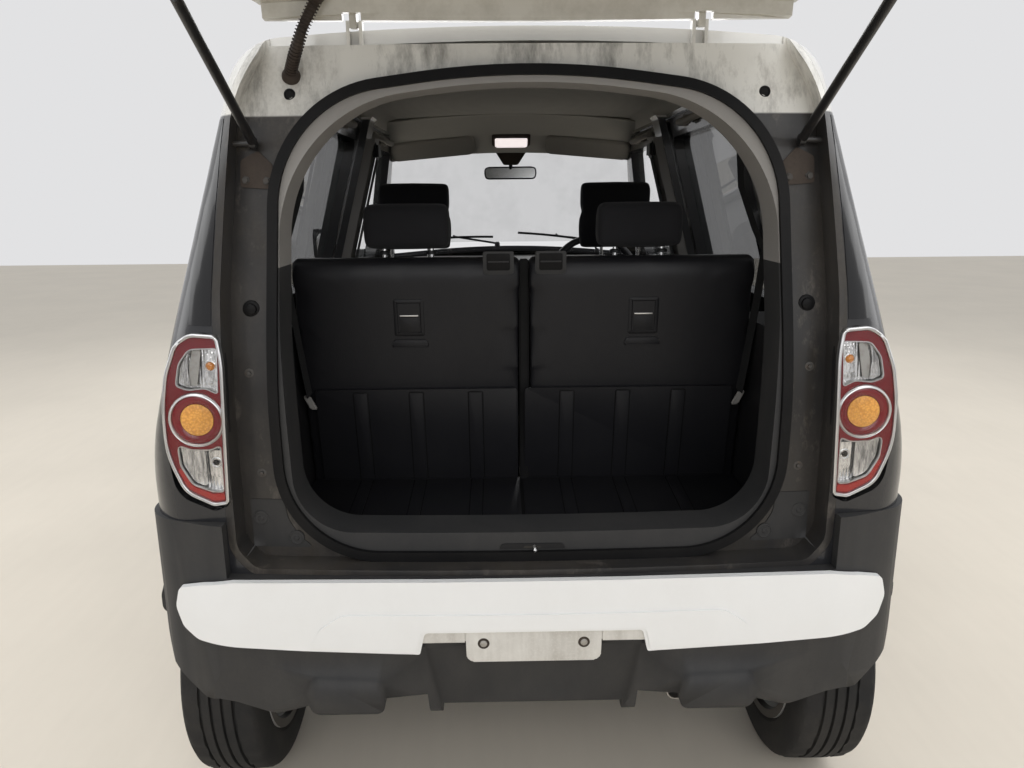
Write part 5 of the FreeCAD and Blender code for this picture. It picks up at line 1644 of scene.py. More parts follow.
@dataclass
class TailBumper:
    """Rear bumper with its cut-back foot corners, shoulder covers and crowned white bar."""

    shop: Workshop
    corner: tuple[Pair, ...] = ((706.0, 545.0), (684.0, 452.0), (618.0, 400.0), (556.0, 372.0))
    bar: Outline = ((0, 651, 0), (535, 652, 30), (592, 642, 40), (642, 628, 15), (652, 590, 30),
                    (640, 552, 26), (612, 531, 30), (520, 525, 60), (418, 518, 60), (206, 509, 5),
                    (196, 553, 9), (0, 553, 0))
    panel: Outline = ((0, 588, 0), (342, 590, 44), (384, 562, 40), (402, 524, 4), (211, 515, 4),
                      (201, 558, 10), (0, 558, 0))
    shoulder: Outline = ((518, 775, 4), (455, 775, 4), (450, 736, 50), (428, 700, 30), (404, 681, 6),
                         (518, 681, 4))
    crown: float = 2.5
    stand_off: float = 15.6
    plate_half: float = 215.0

    def build(self) -> None:
        """Make the bumper, its covers and the white bar."""
        self.trimmed_bumper()
        self.skin = Skin("rear_bumper")
        self.channel = Skin("tail_frame", "rear_bumper")
        self.white_bar()
        for side in Side:
            cover = draped(rounded(self.shoulder, 7), self.on_channel(side, 1.6), 2.0, 12)
            self.shop.piece(f"shoulder_cover_{side.word}", cover, "cladding_grey", smooth=50)
        LOG.info("tail bumper made")

    def on_channel(self, side: Side, lift: float) -> Place:
        """Return a function that lays points on the channel at a lift."""
        def laid(u: float, v: float, d: float) -> Vector:
            """Lay one point."""
            return at(side.value * u, self.channel.behind(side.value * u, v, 120.0) - lift + d, v)
        return laid

    def trimmed_bumper(self) -> None:
        """Cut the foot corners of a copy of the CAD's bumper."""
        mesh = bmesh.new()
        mesh.from_mesh(frame["nodes"]["rear_bumper"].data)
        bmesh.ops.remove_doubles(mesh, verts=mesh.verts, dist=1e-5)
        for side in Side:
            for (x0, z0), (x1, z1) in zip(self.corner, self.corner[1:]):
                start = Vector((side.value * x0 / 1000, 0, z0 / 1000))
                end = Vector((side.value * x1 / 1000, 0, z1 / 1000))
                way = (end - start).normalized()
                out = Vector((way.z, 0, -way.x)) * side.value
                if out.z > 0:
                    out = -out
                cut = bmesh.ops.bisect_plane(mesh, geom=mesh.verts[:] + mesh.edges[:] + mesh.faces[:],
                                             plane_co=start, plane_no=out, dist=1e-6, clear_outer=True)
                rim = [e for e in cut["geom_cut"] if isinstance(e, bmesh.types.BMEdge) and e.is_valid]
                bmesh.ops.triangle_fill(mesh, use_beauty=True, use_dissolve=False, edges=rim)
        piece = self.shop.piece("tail_bumper", mesh, "cladding_grey", smooth=30)
        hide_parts("rear_bumper")

    @staticmethod
    def whole_plate(half: list[Pair], put: Place, thickness: float, bevel: float,
                    segments: int) -> bmesh.types.BMesh:
        """Return a draped plate from its right half's outline, its sharp rims rounded."""
        mesh = draped(half + [(-u, v) for u, v in reversed(half) if u > 0.01], put, thickness, 16)
        rims = [edge for edge in mesh.edges if edge.is_manifold and edge.calc_face_angle(0.0) > 1.0]
        bmesh.ops.bevel(mesh, geom=rims, offset=bevel, segments=segments, affect="EDGES",
                        clamp_overlap=True)
        return mesh

    def white_bar(self) -> None:
        """Make the crowned face of the white bar over its whole width."""
        def put(u: float, v: float, d: float) -> Vector:
            """Lay a point in front of the bumper, crowned between the bar's edges."""
            crown = self.crown * math.sin(math.pi * held((v - 500) / 150, (0, 1)))
            if abs(u) > self.plate_half:
                face = self.skin.behind(u, held(v, (515, 648)), 30.0)
            else:
                face = self.skin.behind(u, 600, 14)
            return at(u, face - self.stand_off - crown + d, v)

        mesh = self.whole_plate(rounded(self.bar, 7), put, 13.0, 0.004, 3)
        bar = self.shop.piece("tail_bar", mesh, "garnish_white", smooth=40)
        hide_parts("rear_garnish")
        step = self.whole_plate(rounded(self.panel, 9), lambda u, v, d: put(u, v, d - 3.0), 5.0, 0.0014, 2)
        self.shop.piece("tail_bar_panel", step, "garnish_white", smooth=60)
        holder = rounded([(-124, 566, 4), (124, 566, 4), (122, 498, 5), (112, 489, 8), (-112, 489, 8),
                          (-122, 498, 5)])
        self.shop.piece("plate_holder", slab(holder, lambda u, v, d: at(u, 6.0 + d, v), 0.0, 20.0, 2.5),
                        "plate_white")
        cheeks = join(block((x0, 4, 528), (x1, 30, 566), 3) for x0, x1 in ((-214, -122), (122, 214)))
        self.shop.piece("plate_cheeks", cheeks, "plate_white")


@dataclass
class GutterFittings:
    """Glossy pillar strips, stops, plugs, screws, strut seats and wiring boot round the tail opening."""

    shop: Workshop
    strip_width: float = 46.0
    strip_z: tuple[float, ...] = (1102.0, 1150.0, 1200.0, 1250.0, 1300.0, 1350.0, 1400.0, 1447.0)
    stops: tuple[Pair, ...] = ((493.0, 1123.0),)
    screws: tuple[Pair, ...] = ((501.0, 1011.0), (492.0, 826.0))
    plugs: tuple[Pair, ...] = ((416.0, 1488.0),)
    shoulder_discs: tuple[Pair, ...] = ((500.0, 738.0), (436.0, 700.0))

    def build(self) -> None:
        """Make the fittings on both sides."""
        self.frame_skin = Skin("tail_frame")
        self.pillar_skin = Skin("body_sides")
        for side in Side:
            self.strip(side)
            self.round_parts(side)
            self.strut_seat(side)
        self.harness()
        LOG.info("gutter fittings made")

    def edge(self, z: float) -> float:
        """Return the half-width at which the pillar's rear face starts at a height."""
        x = 505.0
        while x < 600 and self.pillar_skin.behind(x, z, 900.0) > 215:
            x += 1.0
        return x

    def strip(self, side: Side) -> None:
        """Make the glossy black strip down the pillar's rear face."""
        rows = []
        columns = 14
        for z in self.strip_z:
            start = self.edge(z) + 1.5
            reach, gone = start, 0.0
            last = self.pillar_skin.behind(start, z, 900.0)
            while gone < self.strip_width:
                depth = self.pillar_skin.behind(reach + 1, z, 900.0)
                if depth - last > 25:
                    break
                gone += math.hypot(1, depth - last)
                last = depth
                reach += 1
            across = [start + (reach - start) * k / (columns - 1) for k in range(columns)]
            rows.append([(x, self.pillar_skin.behind(x, z, 200.0), z) for x in across])
        mesh = bmesh.new()
        for lift in (-1.2, 3.0):
            grid = [[mesh.verts.new(at(side.value * x, y + lift, z)) for x, y, z in row] for row in rows]
            stitch(mesh, grid, closed=False)
        self.shop.piece(f"pillar_strip_{side.word}", mesh, "pillar_black", "body_paint")

    def on_frame(self, side: Side, x: float, z: float, otherwise: float = 120.0) -> Vector:
        """Return a point on the channel's floor."""
        return at(side.value * x, self.frame_skin.behind(side.value * x, z, otherwise), z)

    def round_parts(self, side: Side) -> None:
        """Make the rubber stops, plugs, screws and pressed discs."""
        stop = [(-2, 0), (-2, 15.5), (1.5, 15), (3, 12.5), (3.2, 10.5), (7, 9.6), (8.4, 7), (8.6, 0)]
        washer = [(-1, 0), (-1, 8.5), (0.8, 8.3), (1.4, 6), (1.4, 0)]
        bolt = [(1, 0), (1, 4.6), (4.2, 4.4), (5, 3.4), (5, 0)]
        plug = [(-1, 0), (-1, 10.5), (1.2, 10), (2.2, 7.5), (1.2, 6.5), (1.2, 0)]
        disc = [(-1, 0), (-1, 14.5), (1.2, 14), (1.6, 12), (0.6, 11), (0.6, 5), (1.6, 4), (2, 0)]
        kinds = (("gate_stop", self.stops, [(stop, 30)], "seal_rubber", "seal_rubber", 120.0, 0.0),
                 ("lamp_screw", self.screws, [(washer, 24), (bolt, 6)], "cast_iron", "", 120.0, 0.0),
                 ("channel_plug", self.plugs, [(plug, 28)], "seal_rubber", "seal_rubber", 120.0, 0.0),
                 ("shoulder_disc", self.shoulder_discs, [(disc, 30)], "cladding_grey", "", 60.0, 0.0022))
        for name, spots, turned, finish, slot, otherwise, lift in kinds:
            for i, (x, z) in enumerate(spots):
                spot = self.on_frame(side, x, z, otherwise) + BACK * lift
                mesh = join(lathe(profile, spot, BACK, steps) for profile, steps in turned)
                self.shop.piece(f"{name}_{i}_{side.word}", mesh, finish, slot)

    def strut_seat(self, side: Side) -> None:
        """Make the strut's bracket on the channel, with its two bolts."""
        outline = rounded([(449, 1328, 6), (506, 1332, 6), (505, 1378, 10), (474, 1394, 8), (449, 1370, 8)])

        def put(u: float, v: float, d: float) -> Vector:
            """Lay a point on the channel's floor."""
            floor = self.frame_skin.behind(side.value * held(u, (466, 492)), v, 150.0)
            return at(side.value * u, floor + d, v)

        plate = draped(outline, put, -3.0, 9.0)
        self.shop.piece(f"strut_bracket_{side.word}", plate, "hose_brown", "trim_black")
        bolts = join(lathe([(0, 0), (0, 7.5), (2, 7.2), (2.4, 5.4), (6, 5.2), (6.4, 0)],
                           put(u, v, -3.0), BACK, 6) for u, v in ((459, 1342), (496, 1344)))
        self.shop.piece(f"strut_bolts_{side.word}", bolts, "cast_iron")

    def harness(self) -> None:
        """Make the corrugated boot of the gate's wiring, bent between the channel and the gate."""
        start = self.on_frame(Side.LEFT, 412, 1520)
        lower = lathe([(-2, 0), (-2, 17), (2, 16.5), (5, 14), (9, 11.5), (14, 9.5), (14, 0)], start,
                      Vector((0.1, -1, 0.5)), 28)
        self.shop.piece("harness_grommet", lower, "hose_brown")
        end = Skin("tailgate").hit(at(-352, 146, 1480), UP) or at(-352, 146, 1638)
        upper = lathe([(-2, 0), (-2, 19), (2, 18.5), (6, 15), (12, 10), (12, 0)], end,
                      Vector((-0.2, 0.25, -1)), 28)
        self.shop.piece("harness_gate_grommet", upper, "hose_brown", body="tailgate")
        sag = Vector((0.0, -0.022, -0.004))
        path = [start + Vector((0.001, -0.010, 0.004)), start.lerp(end, 0.25) + sag,
                start.lerp(end, 0.6) + sag, end + Vector((-0.001, 0.002, -0.008))]
        core = tube(path, 8.2, 14)
        boot = self.shop.piece("harness_boot", core, "hose_brown")
        ridge = lathe([(-1.3, 8.0), (-0.6, 11.2), (0.6, 11.2), (1.3, 8.0)], Vector((0, 0, 0)), UP, 20,
                      closed=True)
        ridges = Repeater(self.shop).on_path("harness_ridges", ridge, path, 5.4, "hose_brown")
        for piece in (boot, ridges):
            piece.parent = None
            piece.matrix_world = Matrix.Identity(4)
            del piece["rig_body"]
            tuple(path[0])
            tuple(path[-1])
            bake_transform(piece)


@dataclass
class CabinTrim:
    """What hangs inside the cabin: header, lamps, mirror, visors, handles, belts and pillar covers."""

    shop: Workshop
    header: tuple[Pair, ...] = ((1820.0, 1613.0), (1900.0, 1605.0), (2000.0, 1588.0), (2070.0, 1566.0),
                                (2130.0, 1538.0), (2180.0, 1506.0), (2196.0, 1494.0))
    crown: float = 34.0
    half_width: float = 500.0

    def build(self) -> None:
        """Make the cabin's small trim."""
        self.ceiling = Skin("headliner")
        self.walls = Skin("body_sides", "floor_pan", "luggage_trim")
        self.roof_header()
        self.dome_lamp()
        self.mirror()
        for side in Side:
            self.visor(side)
            self.handle(side, 1580.0, 1820.0)
            self.handle(side, 820.0, 1040.0)
            self.post_cover(side)
            self.belt(side)
            self.rear_belt(side)
            self.side_hook(side)
        LOG.info("cabin trim made")

    def under(self, x: float, y: float) -> float:
        """Return the headlining's height above a station."""
        spot = self.ceiling.hit(at(x, y, 1300), UP)
        return 1560.0 if spot is None else spot.z * 1000

    def wall(self, side: Side, y: float, z: float, otherwise: float) -> float:
        """Return the half-width of the cabin's inner wall at a station."""
        spot = self.walls.hit(at(side.value * 300, y, z), Vector((side.value, 0, 0)))
        return otherwise if spot is None else abs(spot.x) * 1000

    def header_z(self, x: float, y: float) -> float:
        """Return the height of the header's lower face at a station."""
        (y0, z0), *rest = self.header
        fall = z0
        for y1, z1 in rest:
            if y <= y1:
                fall = z0 + (z1 - z0) * (y - y0) / (y1 - y0)
                break
            y0, z0 = y1, z1
            fall = z1
        return fall - self.crown * (x / self.half_width) ** 2

    def roof_header(self) -> None:
        """Make the header over the windscreen, which the headlining runs into."""
        mesh = bmesh.new()
        across = [-505 + 1010 * k / 28 for k in range(29)]
        stations = [y for y, _ in self.header]
        rows = [[mesh.verts.new(at(x, y, self.header_z(x, y))) for x in across] for y in stations]
        rows.append([mesh.verts.new(at(x, stations[-1] + 3, self.header_z(x, stations[-1]) + 6))
                     for x in across])
        rows.append([mesh.verts.new(at(x, 2180, self.header_z(x, 2180) + 30)) for x in across])
        rows.append([mesh.verts.new(at(x, 1820, self.header_z(x, 1820) + 4)) for x in across])
        stitch(mesh, rows + rows[:1], closed=False)
        for k in (0, -1):
            mesh.faces.new([row[k] for row in rows])
        self.shop.piece("roof_header", mesh, "headlining", smooth=50)

    def dome_lamp(self) -> None:
        """Make the lit roof lamp in the header and the flush lamp over the tail opening."""
        def put(u: float, v: float, d: float) -> Vector:
            """Place a point under the header."""
            return at(u, v, self.header_z(0, v) - d)

        frame = rounded([(-76, 2070, 12), (82, 2070, 12), (82, 2150, 12), (-76, 2150, 12)])
        self.shop.piece("roof_lamp_frame", slab(frame, put, -4.0, 10.0, 4.0, 3), "hose_brown", "trim_grey")
        lens = rounded([(-64, 2092, 8), (70, 2092, 8), (70, 2144, 8), (-64, 2144, 8)])
        self.shop.piece("roof_lamp_lens", slab(lens, put, 8.0, 17.0, 4.0, 3), "lamp_lit")
        top = self.under(0, 292)
        small = slab(rounded([(-42, 284, 5), (44, 284, 5), (44, 304, 5), (-42, 304, 5)]),
                     lambda u, v, d: at(u, v, top + 1 - d), 0.0, 9.0, 3.0, 3)
        self.shop.piece("luggage_lamp", small, "lamp_pale")

    def mirror(self) -> None:
        """Make the inside mirror, its glass and its housing under the header."""
        outline = rounded([(-110, 1386, 20), (112, 1386, 20), (118, 1440, 26), (-116, 1440, 26)])

        def put(u: float, v: float, d: float) -> Vector:
            """Place a point of the mirror, turned a little to the driver."""
            return at(u, 2270 + d - u * 0.10, v)

        self.shop.piece("inside_mirror", slab(outline, put, 0.0, 22.0, 7.0, 3), "vinyl_black")
        self.shop.piece("inside_mirror_glass", slab(offset(outline, 6), put, -1.0, 2.0), "mirror_glass")
        housing = rounded([(-64, 1500, 6), (70, 1500, 6), (34, 1446, 14), (-28, 1446, 14)])
        pod = slab(housing, lambda u, v, d: at(u, 2196 + (1500 - v) * 0.9 + d, v), 0.0, 20.0, 6.0, 3)
        self.shop.piece("mirror_housing", pod, "hose_brown", "trim_grey")
        stalk = tube([at(3, 2256, 1462), at(3, 2270, 1440), at(3, 2282, 1420)], 8, 14)
        self.shop.piece("inside_mirror_stalk", stalk, "black_plastic")

    def visor(self, side: Side) -> None:
        """Make one sun visor folded up against the header."""
        x0, x1 = (146, 496) if side is Side.RIGHT else (-496, -150)
        outline = rounded([(x0, 2075, 22), (x1, 2075, 22), (x1, 2176, 22), (x0, 2176, 22)])

        def put(u: float, v: float, d: float) -> Vector:
            """Place a point of the visor under the header."""
            return at(u, v, self.header_z(u, v) - 3 - d)

        self.shop.piece(f"visor_{side.word}", slab(outline, put, 0.0, 15.0, 6.0, 4), "visor_vinyl")

    def handle(self, side: Side, y0: float, y1: float) -> None:
        """Make one grab handle under the roof's edge."""
        middle = (y0 + y1) / 2
        z = 1512.0
        x = self.wall(side, middle, z, 480.0) - 3
        path = [at(side.value * (x + 2), y0, z + 8), at(side.value * (x - 26), y0 + 26, z - 2),
                at(side.value * (x - 32), middle, z - 8), at(side.value * (x - 26), y1 - 26, z - 2),
                at(side.value * (x + 2), y1, z + 8)]
        ends = [block((side.value * x - 12, y - 22, z - 10), (side.value * x + 10, y + 22, z + 20), 6, 3)
                for y in (y0, y1)]
        self.shop.piece(f"grab_handle_{side.word}_{int(y0)}", join([tube(path, 9.5, 14), *ends]),
                        "visor_vinyl")

    def post_cover(self, side: Side) -> None:
        """Make the inner cover of the middle post."""
        rows = [(1340, 1424, z) for z in range(640, 1531, 45)]
        mesh = bmesh.new()
        grid = []
        for y0, y1, z in rows:
            x = self.wall(side, 1382, z, 560.0) - 5
            row = []
            for y, back in ((y0 - 4, 5.0), (y0 + 2, -22.0), ((y0 + y1) / 2, -30.0), (y1 - 2, -22.0),
                            (y1 + 4, 5.0)):
                row.append(mesh.verts.new(at(side.value * (x + back), y, z)))
            grid.append(row)
        stitch(mesh, grid, closed=False)
        for z_row in (grid[0], grid[-1]):
            mesh.faces.new(z_row)
        self.shop.piece(f"post_cover_{side.word}", mesh, "light_trim")

    @staticmethod
    def webbing(points: Sequence[Point], half: float, across: Vector) -> bmesh.types.BMesh:
        """Return a flat strap along stations, its width along a direction."""
        mesh = bmesh.new()
        way = across.normalized() * (half / 1000)
        thick = [Vector((0, 0, 0)), Vector((0.0013, 0, 0))]
        rows = [[mesh.verts.new(at(*p) + s * way + t) for t in thick for s in (-1, 1)] for p in points]
        for first, second in zip(rows, rows[1:]):
            for a, b in ((0, 1), (1, 3), (3, 2), (2, 0)):
                mesh.faces.new((first[a], first[b], second[b], second[a]))
        for row in (rows[0], rows[-1]):
            mesh.faces.new((row[0], row[1], row[3], row[2]))
        return mesh

    def strap(self, name: str, side: Side, points: Sequence[Point], low: Point, high: Point) -> None:
        """Make a belt through stations, with its upper anchor between two corners about the first."""
        self.shop.piece(f"{name}_{side.word}", self.webbing(points, 23, AHEAD), "belt_webbing")
        x, y, z = points[0]
        anchor = block((x + low[0], y + low[1], z + low[2]), (x + high[0], y + high[1], z + high[2]), 8, 3)
        self.shop.piece(f"{name}_anchor_{side.word}", anchor, "black_plastic")

    def belt(self, side: Side) -> None:
        """Make a front belt down the middle post, with its tongue."""
        points = [(side.value * (self.wall(side, 1382, z, 560.0) - 41), 1376 + (1440 - z) * 0.02, z)
                  for z in (1440, 1330, 1200, 1060, 900, 760, 660)]
        self.strap("front_belt", side, points, (-9, -34, -8), (9, 34, 44))
        x, y = points[4][0], points[0][1]
        tongue = block((x - 10, y - 22, 872), (x + 6, y + 26, 960), 5, 3)
        self.shop.piece(f"front_belt_tongue_{side.word}", tongue, "black_plastic")

    def rear_belt(self, side: Side) -> None:
        """Make a rear belt from the rear pillar over the side trim to the rest's foot."""
        x = self.wall(side, 590, 1420, 505.0) - 14
        way = ((x, 590, 1420), (x + 8, 586, 1330), (516, 500, 1236), (509, 408, 1196), (500, 412, 1090),
               (488, 424, 960), (480, 432, 884))
        points = [(side.value * u, y, z) for u, y, z in way]
        self.strap("rear_belt", side, points, (-9, -30, -6), (9, 30, 40))

    def side_hook(self, side: Side) -> None:
        """Make the belt's tongue behind the rest, low on the belt."""
        body = block((side.value * 478 - 8, 425, 854), (side.value * 478 + 8, 433, 886), 3, 3)
        for vertex in body.verts:
            vertex.co.x += side.value * (vertex.co.z - 0.87) * 0.5
        self.shop.piece(f"belt_tongue_{side.word}", body, "light_trim")


@dataclass
class GateTrim:
    """Trim of the open tailgate: inner cover, plug, latch, glass border, wiper and handle."""

    shop: Workshop
    hinge_y: float = 205.0
    hinge_z: float = 1603.0
    opened: float = math.radians(88)

    def build(self) -> None:
        """Make the gate's trim."""
        self.skin = Skin("tailgate", "tailgate_glass")
        self.inner_cover()
        self.borders()
        self.latch()
        self.wiper()
        LOG.info("gate trim made")

    def shut(self, x: float, y: float, z: float) -> Vector:
        """Return the open gate's point for a station of the shut gate."""
        dy, dz = y - self.hinge_y, z - self.hinge_z
        c, s = math.cos(self.opened), math.sin(self.opened)
        return at(x, self.hinge_y + dy * c + dz * s, self.hinge_z - dy * s + dz * c)

    def depth(self, x: float, z: float, inside: bool, otherwise: float) -> float:
        """Return the shut gate's Y station of its inner or outer face at a station (x, z)."""
        far = 400.0 if inside else -400.0
        start, end = self.shut(x, far, z), self.shut(x, 0.0, z)
        spot = self.skin.hit(start, (end - start).normalized())
        if spot is None:
            return otherwise
        gone = (spot - start).length * 1000
        return far - gone if inside else far + gone

    def on_face(self, inside: bool, lift: float) -> Place:
        """Return a function that lays points on the gate's inner or outer face, raised by a lift."""
        sense, otherwise = (1, 90.0) if inside else (-1, 20.0)

        def laid(u: float, v: float, more: float) -> Vector:
            """Lay one point."""
            return self.shut(u, self.depth(u, v, inside, otherwise) + sense * (lift - more), v)
        return laid

    def inner_cover(self) -> None:
        """Make the plastic cover under the glass, its pull and the plug beside the hinge."""
        outline = rounded([(-400, 1088, 20), (400, 1088, 20), (410, 900, 60), (380, 760, 40),
                           (-380, 760, 40), (-410, 900, 60)])
        self.shop.piece("gate_cover", draped(outline, self.on_face(True, 4), 5, 24), "black_plastic",
                        body="tailgate")
        pull = rounded([(120, 800, 12), (230, 800, 12), (230, 842, 12), (120, 842, 12)])
        self.shop.piece("gate_pull", draped(pull, self.on_face(True, 9), 6, 14), "vinyl_black",
                        body="tailgate")
        spot = self.on_face(True, 0)(20, 1532, 0)
        plug = lathe([(-1, 0), (-1, 11), (1.5, 10), (2.5, 7), (2.5, 0)], spot,
                     self.shut(20, 100, 1532) - self.shut(20, 0, 1532), 28)
        self.shop.piece("gate_plug", plug, "seal_rubber", "seal_rubber", body="tailgate")

    def borders(self) -> None:
        """Make the dark border round the glass, inside and outside."""
        outer = rounded([(-462, 1112, 50), (462, 1112, 50), (432, 1480, 80), (0, 1506, 0),
                         (-432, 1480, 80)], 8)
        inner = offset(outer, 30)
        for name, put in (("inside", self.on_face(True, 2.2)), ("outside", self.on_face(False, 1.6))):
            mesh = bmesh.new()
            rows = []
            for share, drop in ((0.0, 3.0), (0.12, 0.0), (0.5, 0.0), (0.88, 0.0), (1.0, 3.0)):
                rows.append([mesh.verts.new(put(u0 + (u1 - u0) * share, v0 + (v1 - v0) * share, drop))
                             for (u0, v0), (u1, v1) in zip(outer, inner)])
            stitch(mesh, rows)
            self.shop.piece(f"gate_border_{name}", mesh, "pillar_black", body="tailgate", smooth=50)

    def latch(self) -> None:
        """Make the latch at the gate's foot and the handle outside."""
        low = self.depth(0, 760, True, 60.0)
        parts = []
        for x0, x1, z0, z1, deep in ((-34, 34, 722, 760, 16), (-12, 12, 714, 724, 5)):
            mesh = bmesh.new()
            bmesh.ops.create_cube(mesh, size=1.0)
            for vertex in mesh.verts:
                x = x0 + (vertex.co.x + 0.5) * (x1 - x0)
                y = low - 22 + (vertex.co.y + 0.5) * deep
                z = z0 + (vertex.co.z + 0.5) * (z1 - z0)
                vertex.co = self.shut(x, y, z)
            bmesh.ops.bevel(mesh, geom=mesh.edges[:], offset=0.002, segments=2, affect="EDGES",
                            clamp_overlap=True)
            parts.append(mesh)
        self.shop.piece("gate_latch", join(parts), "cast_iron", body="tailgate")
        grip = rounded([(-95, 938, 10), (95, 938, 10), (95, 976, 14), (-95, 976, 14)])
        self.shop.piece("gate_handle", draped(grip, self.on_face(False, 12), 11, 14), "black_plastic",
                        body="tailgate")

    def wiper(self) -> None:
        """Make the wiper over the glass outside, with its pivot cap."""
        base = self.on_face(False, 0)(150, 1104, 0)
        way = self.shut(0, -100, 0) - self.shut(0, 0, 0)
        cap = lathe([(-2, 0), (-2, 13), (6, 12.5), (16, 9), (19, 5), (19, 0)], base, way, 28)
        self.shop.piece("gate_wiper_cap", cap, "black_plastic", body="tailgate")
        put = self.on_face(False, 11)
        arm = tube([put(150, 1104, 0), put(90, 1112, -3), put(0, 1150, -2), put(-40, 1168, 3)], 5, 12)
        self.shop.piece("gate_wiper_arm", arm, "black_plastic", body="tailgate")
        low = self.on_face(False, 8)
        blade = tube([low(-190, 1148, 0), low(-100, 1160, 0), low(0, 1172, 0), low(100, 1176, 0)], 6, 10)
        self.shop.piece("gate_wiper_blade", blade, "seal_rubber", body="tailgate")


@dataclass
class SideTrim:
    """Door handles, mirror glasses, dark window posts, waist strips and the filler lid."""

    shop: Workshop
    handles: tuple[tuple[str, float], ...] = (("front", 1560.0), ("rear", 720.0))

    def build(self) -> None:
        """Make the trim of both sides."""
        for side in Side:
            for word, middle in self.handles:
                self.handle(side, word, middle)
            self.mirror_glass(side)
            self.strips(side)
        self.filler_lid()
        LOG.info("side trim made")

    def handle(self, side: Side, word: str, middle: float) -> None:
        """Make a door's bowl and bar handle."""
        door = f"door_{word}_{side.word}"
        skin = Skin(door)

        def put(u: float, v: float, d: float) -> Vector:
            """Lay a point on the door's skin."""
            return at(side.value * (skin.beside(side, u, v, 700.0) + 0.8 - d), u, v)

        bowl = rounded([(middle - 72, 868, 24), (middle + 72, 868, 24), (middle + 72, 922, 24),
                        (middle - 72, 922, 24)])
        self.shop.piece(f"handle_bowl_{word}_{side.word}", draped(bowl, put, 2.0, 14), "black_plastic",
                        body=door)
        x = skin.beside(side, middle, 896, 700.0)
        way = ((2, -88, 897), (22, -66, 898), (26, 0, 899), (22, 66, 898), (2, 88, 897))
        foot, taller = 0.897, 1.35
        bar = tube([at(side.value * (x + out), middle + along, z) for out, along, z in way], 10, 16)
        for vertex in bar.verts:
            vertex.co.z = foot + (vertex.co.z - foot) * taller
        self.shop.piece(f"handle_bar_{word}_{side.word}", bar, "door_dark", body=door)

    def mirror_glass(self, side: Side) -> None:
        """Make a door mirror's glass."""
        skin = Skin(f"door_front_{side.word}")

        def put(u: float, v: float, d: float) -> Vector:
            """Lay a point on the mirror's rear face."""
            return at(side.value * u, skin.behind(side.value * u, v, 2222.0) - 1.5 + d, v)

        outline = rounded([(738, 1076, 16), (850, 1076, 20), (850, 1162, 26), (738, 1158, 16)])
        self.shop.piece(f"mirror_glass_{side.word}", draped(outline, put, 3.0, 20), "mirror_glass",
                        body=f"door_front_{side.word}")

    def strips(self, side: Side) -> None:
        """Make the dark covers of the doors' window posts and the rubber strips under their windows."""
        kinds = (
            ("post_strip", ((1391.0, 1446.0), (1324.0, 1373.0)), (1066, 1486), "pillar_black", 1.6, 20),
            ("waist_strip", ((1446.0, 2300.0), (646.0, 1322.0)), (1046, 1062), "seal_rubber", 3.5, 30))
        for name, spans, (z0, z1), finish, thickness, grid in kinds:
            for word, (y0, y1) in zip(("front", "rear"), spans):
                door = f"door_{word}_{side.word}"
                skin = Skin(door)

                def put(u: float, v: float, d: float) -> Vector:
                    """Lay a point on the door, off a post's rims or just under a window."""
                    if name == "post_strip":
                        half = skin.beside(side, held(u, (y0 + 2, y1 - 2)), v, 640.0) + 1.2
                    else:
                        half = skin.beside(side, u, min(v, 1054), 690.0) + 2.2
                    return at(side.value * (half - d), u, v)

                strip = draped([(y0, z0), (y1, z0), (y1, z1), (y0, z1)], put, thickness, grid)
                self.shop.piece(f"{name}_{word}_{side.word}", strip, finish, "trim_black", body=door)

    def filler_lid(self) -> None:
        """Make the filler lid on the left rear panel, with a dark ring round it as painted shade in its
        gap.
        """
        skin = Skin("body_sides")

        def put(u: float, v: float, d: float) -> Vector:
            """Lay a point on the rear panel."""
            return at(-(skin.beside(Side.LEFT, u, v, 690.0) + 0.7 - d), u, v)

        outline = rounded([(330, 880, 22), (470, 880, 22), (470, 1010, 22), (330, 1010, 22)], 6)
        self.shop.piece("filler_lid", draped(outline, put, 1.4, 16), "door_dark")
        # Dark ring a little wider than the lid, just under it: painted shade in the gap round the lid.
        gap = draped(offset(outline, -2.2), lambda u, v, d: put(u, v, d) + ACROSS * 0.0005, 0.8, 16)
        self.shop.piece("filler_gap", gap, "seal_rubber")


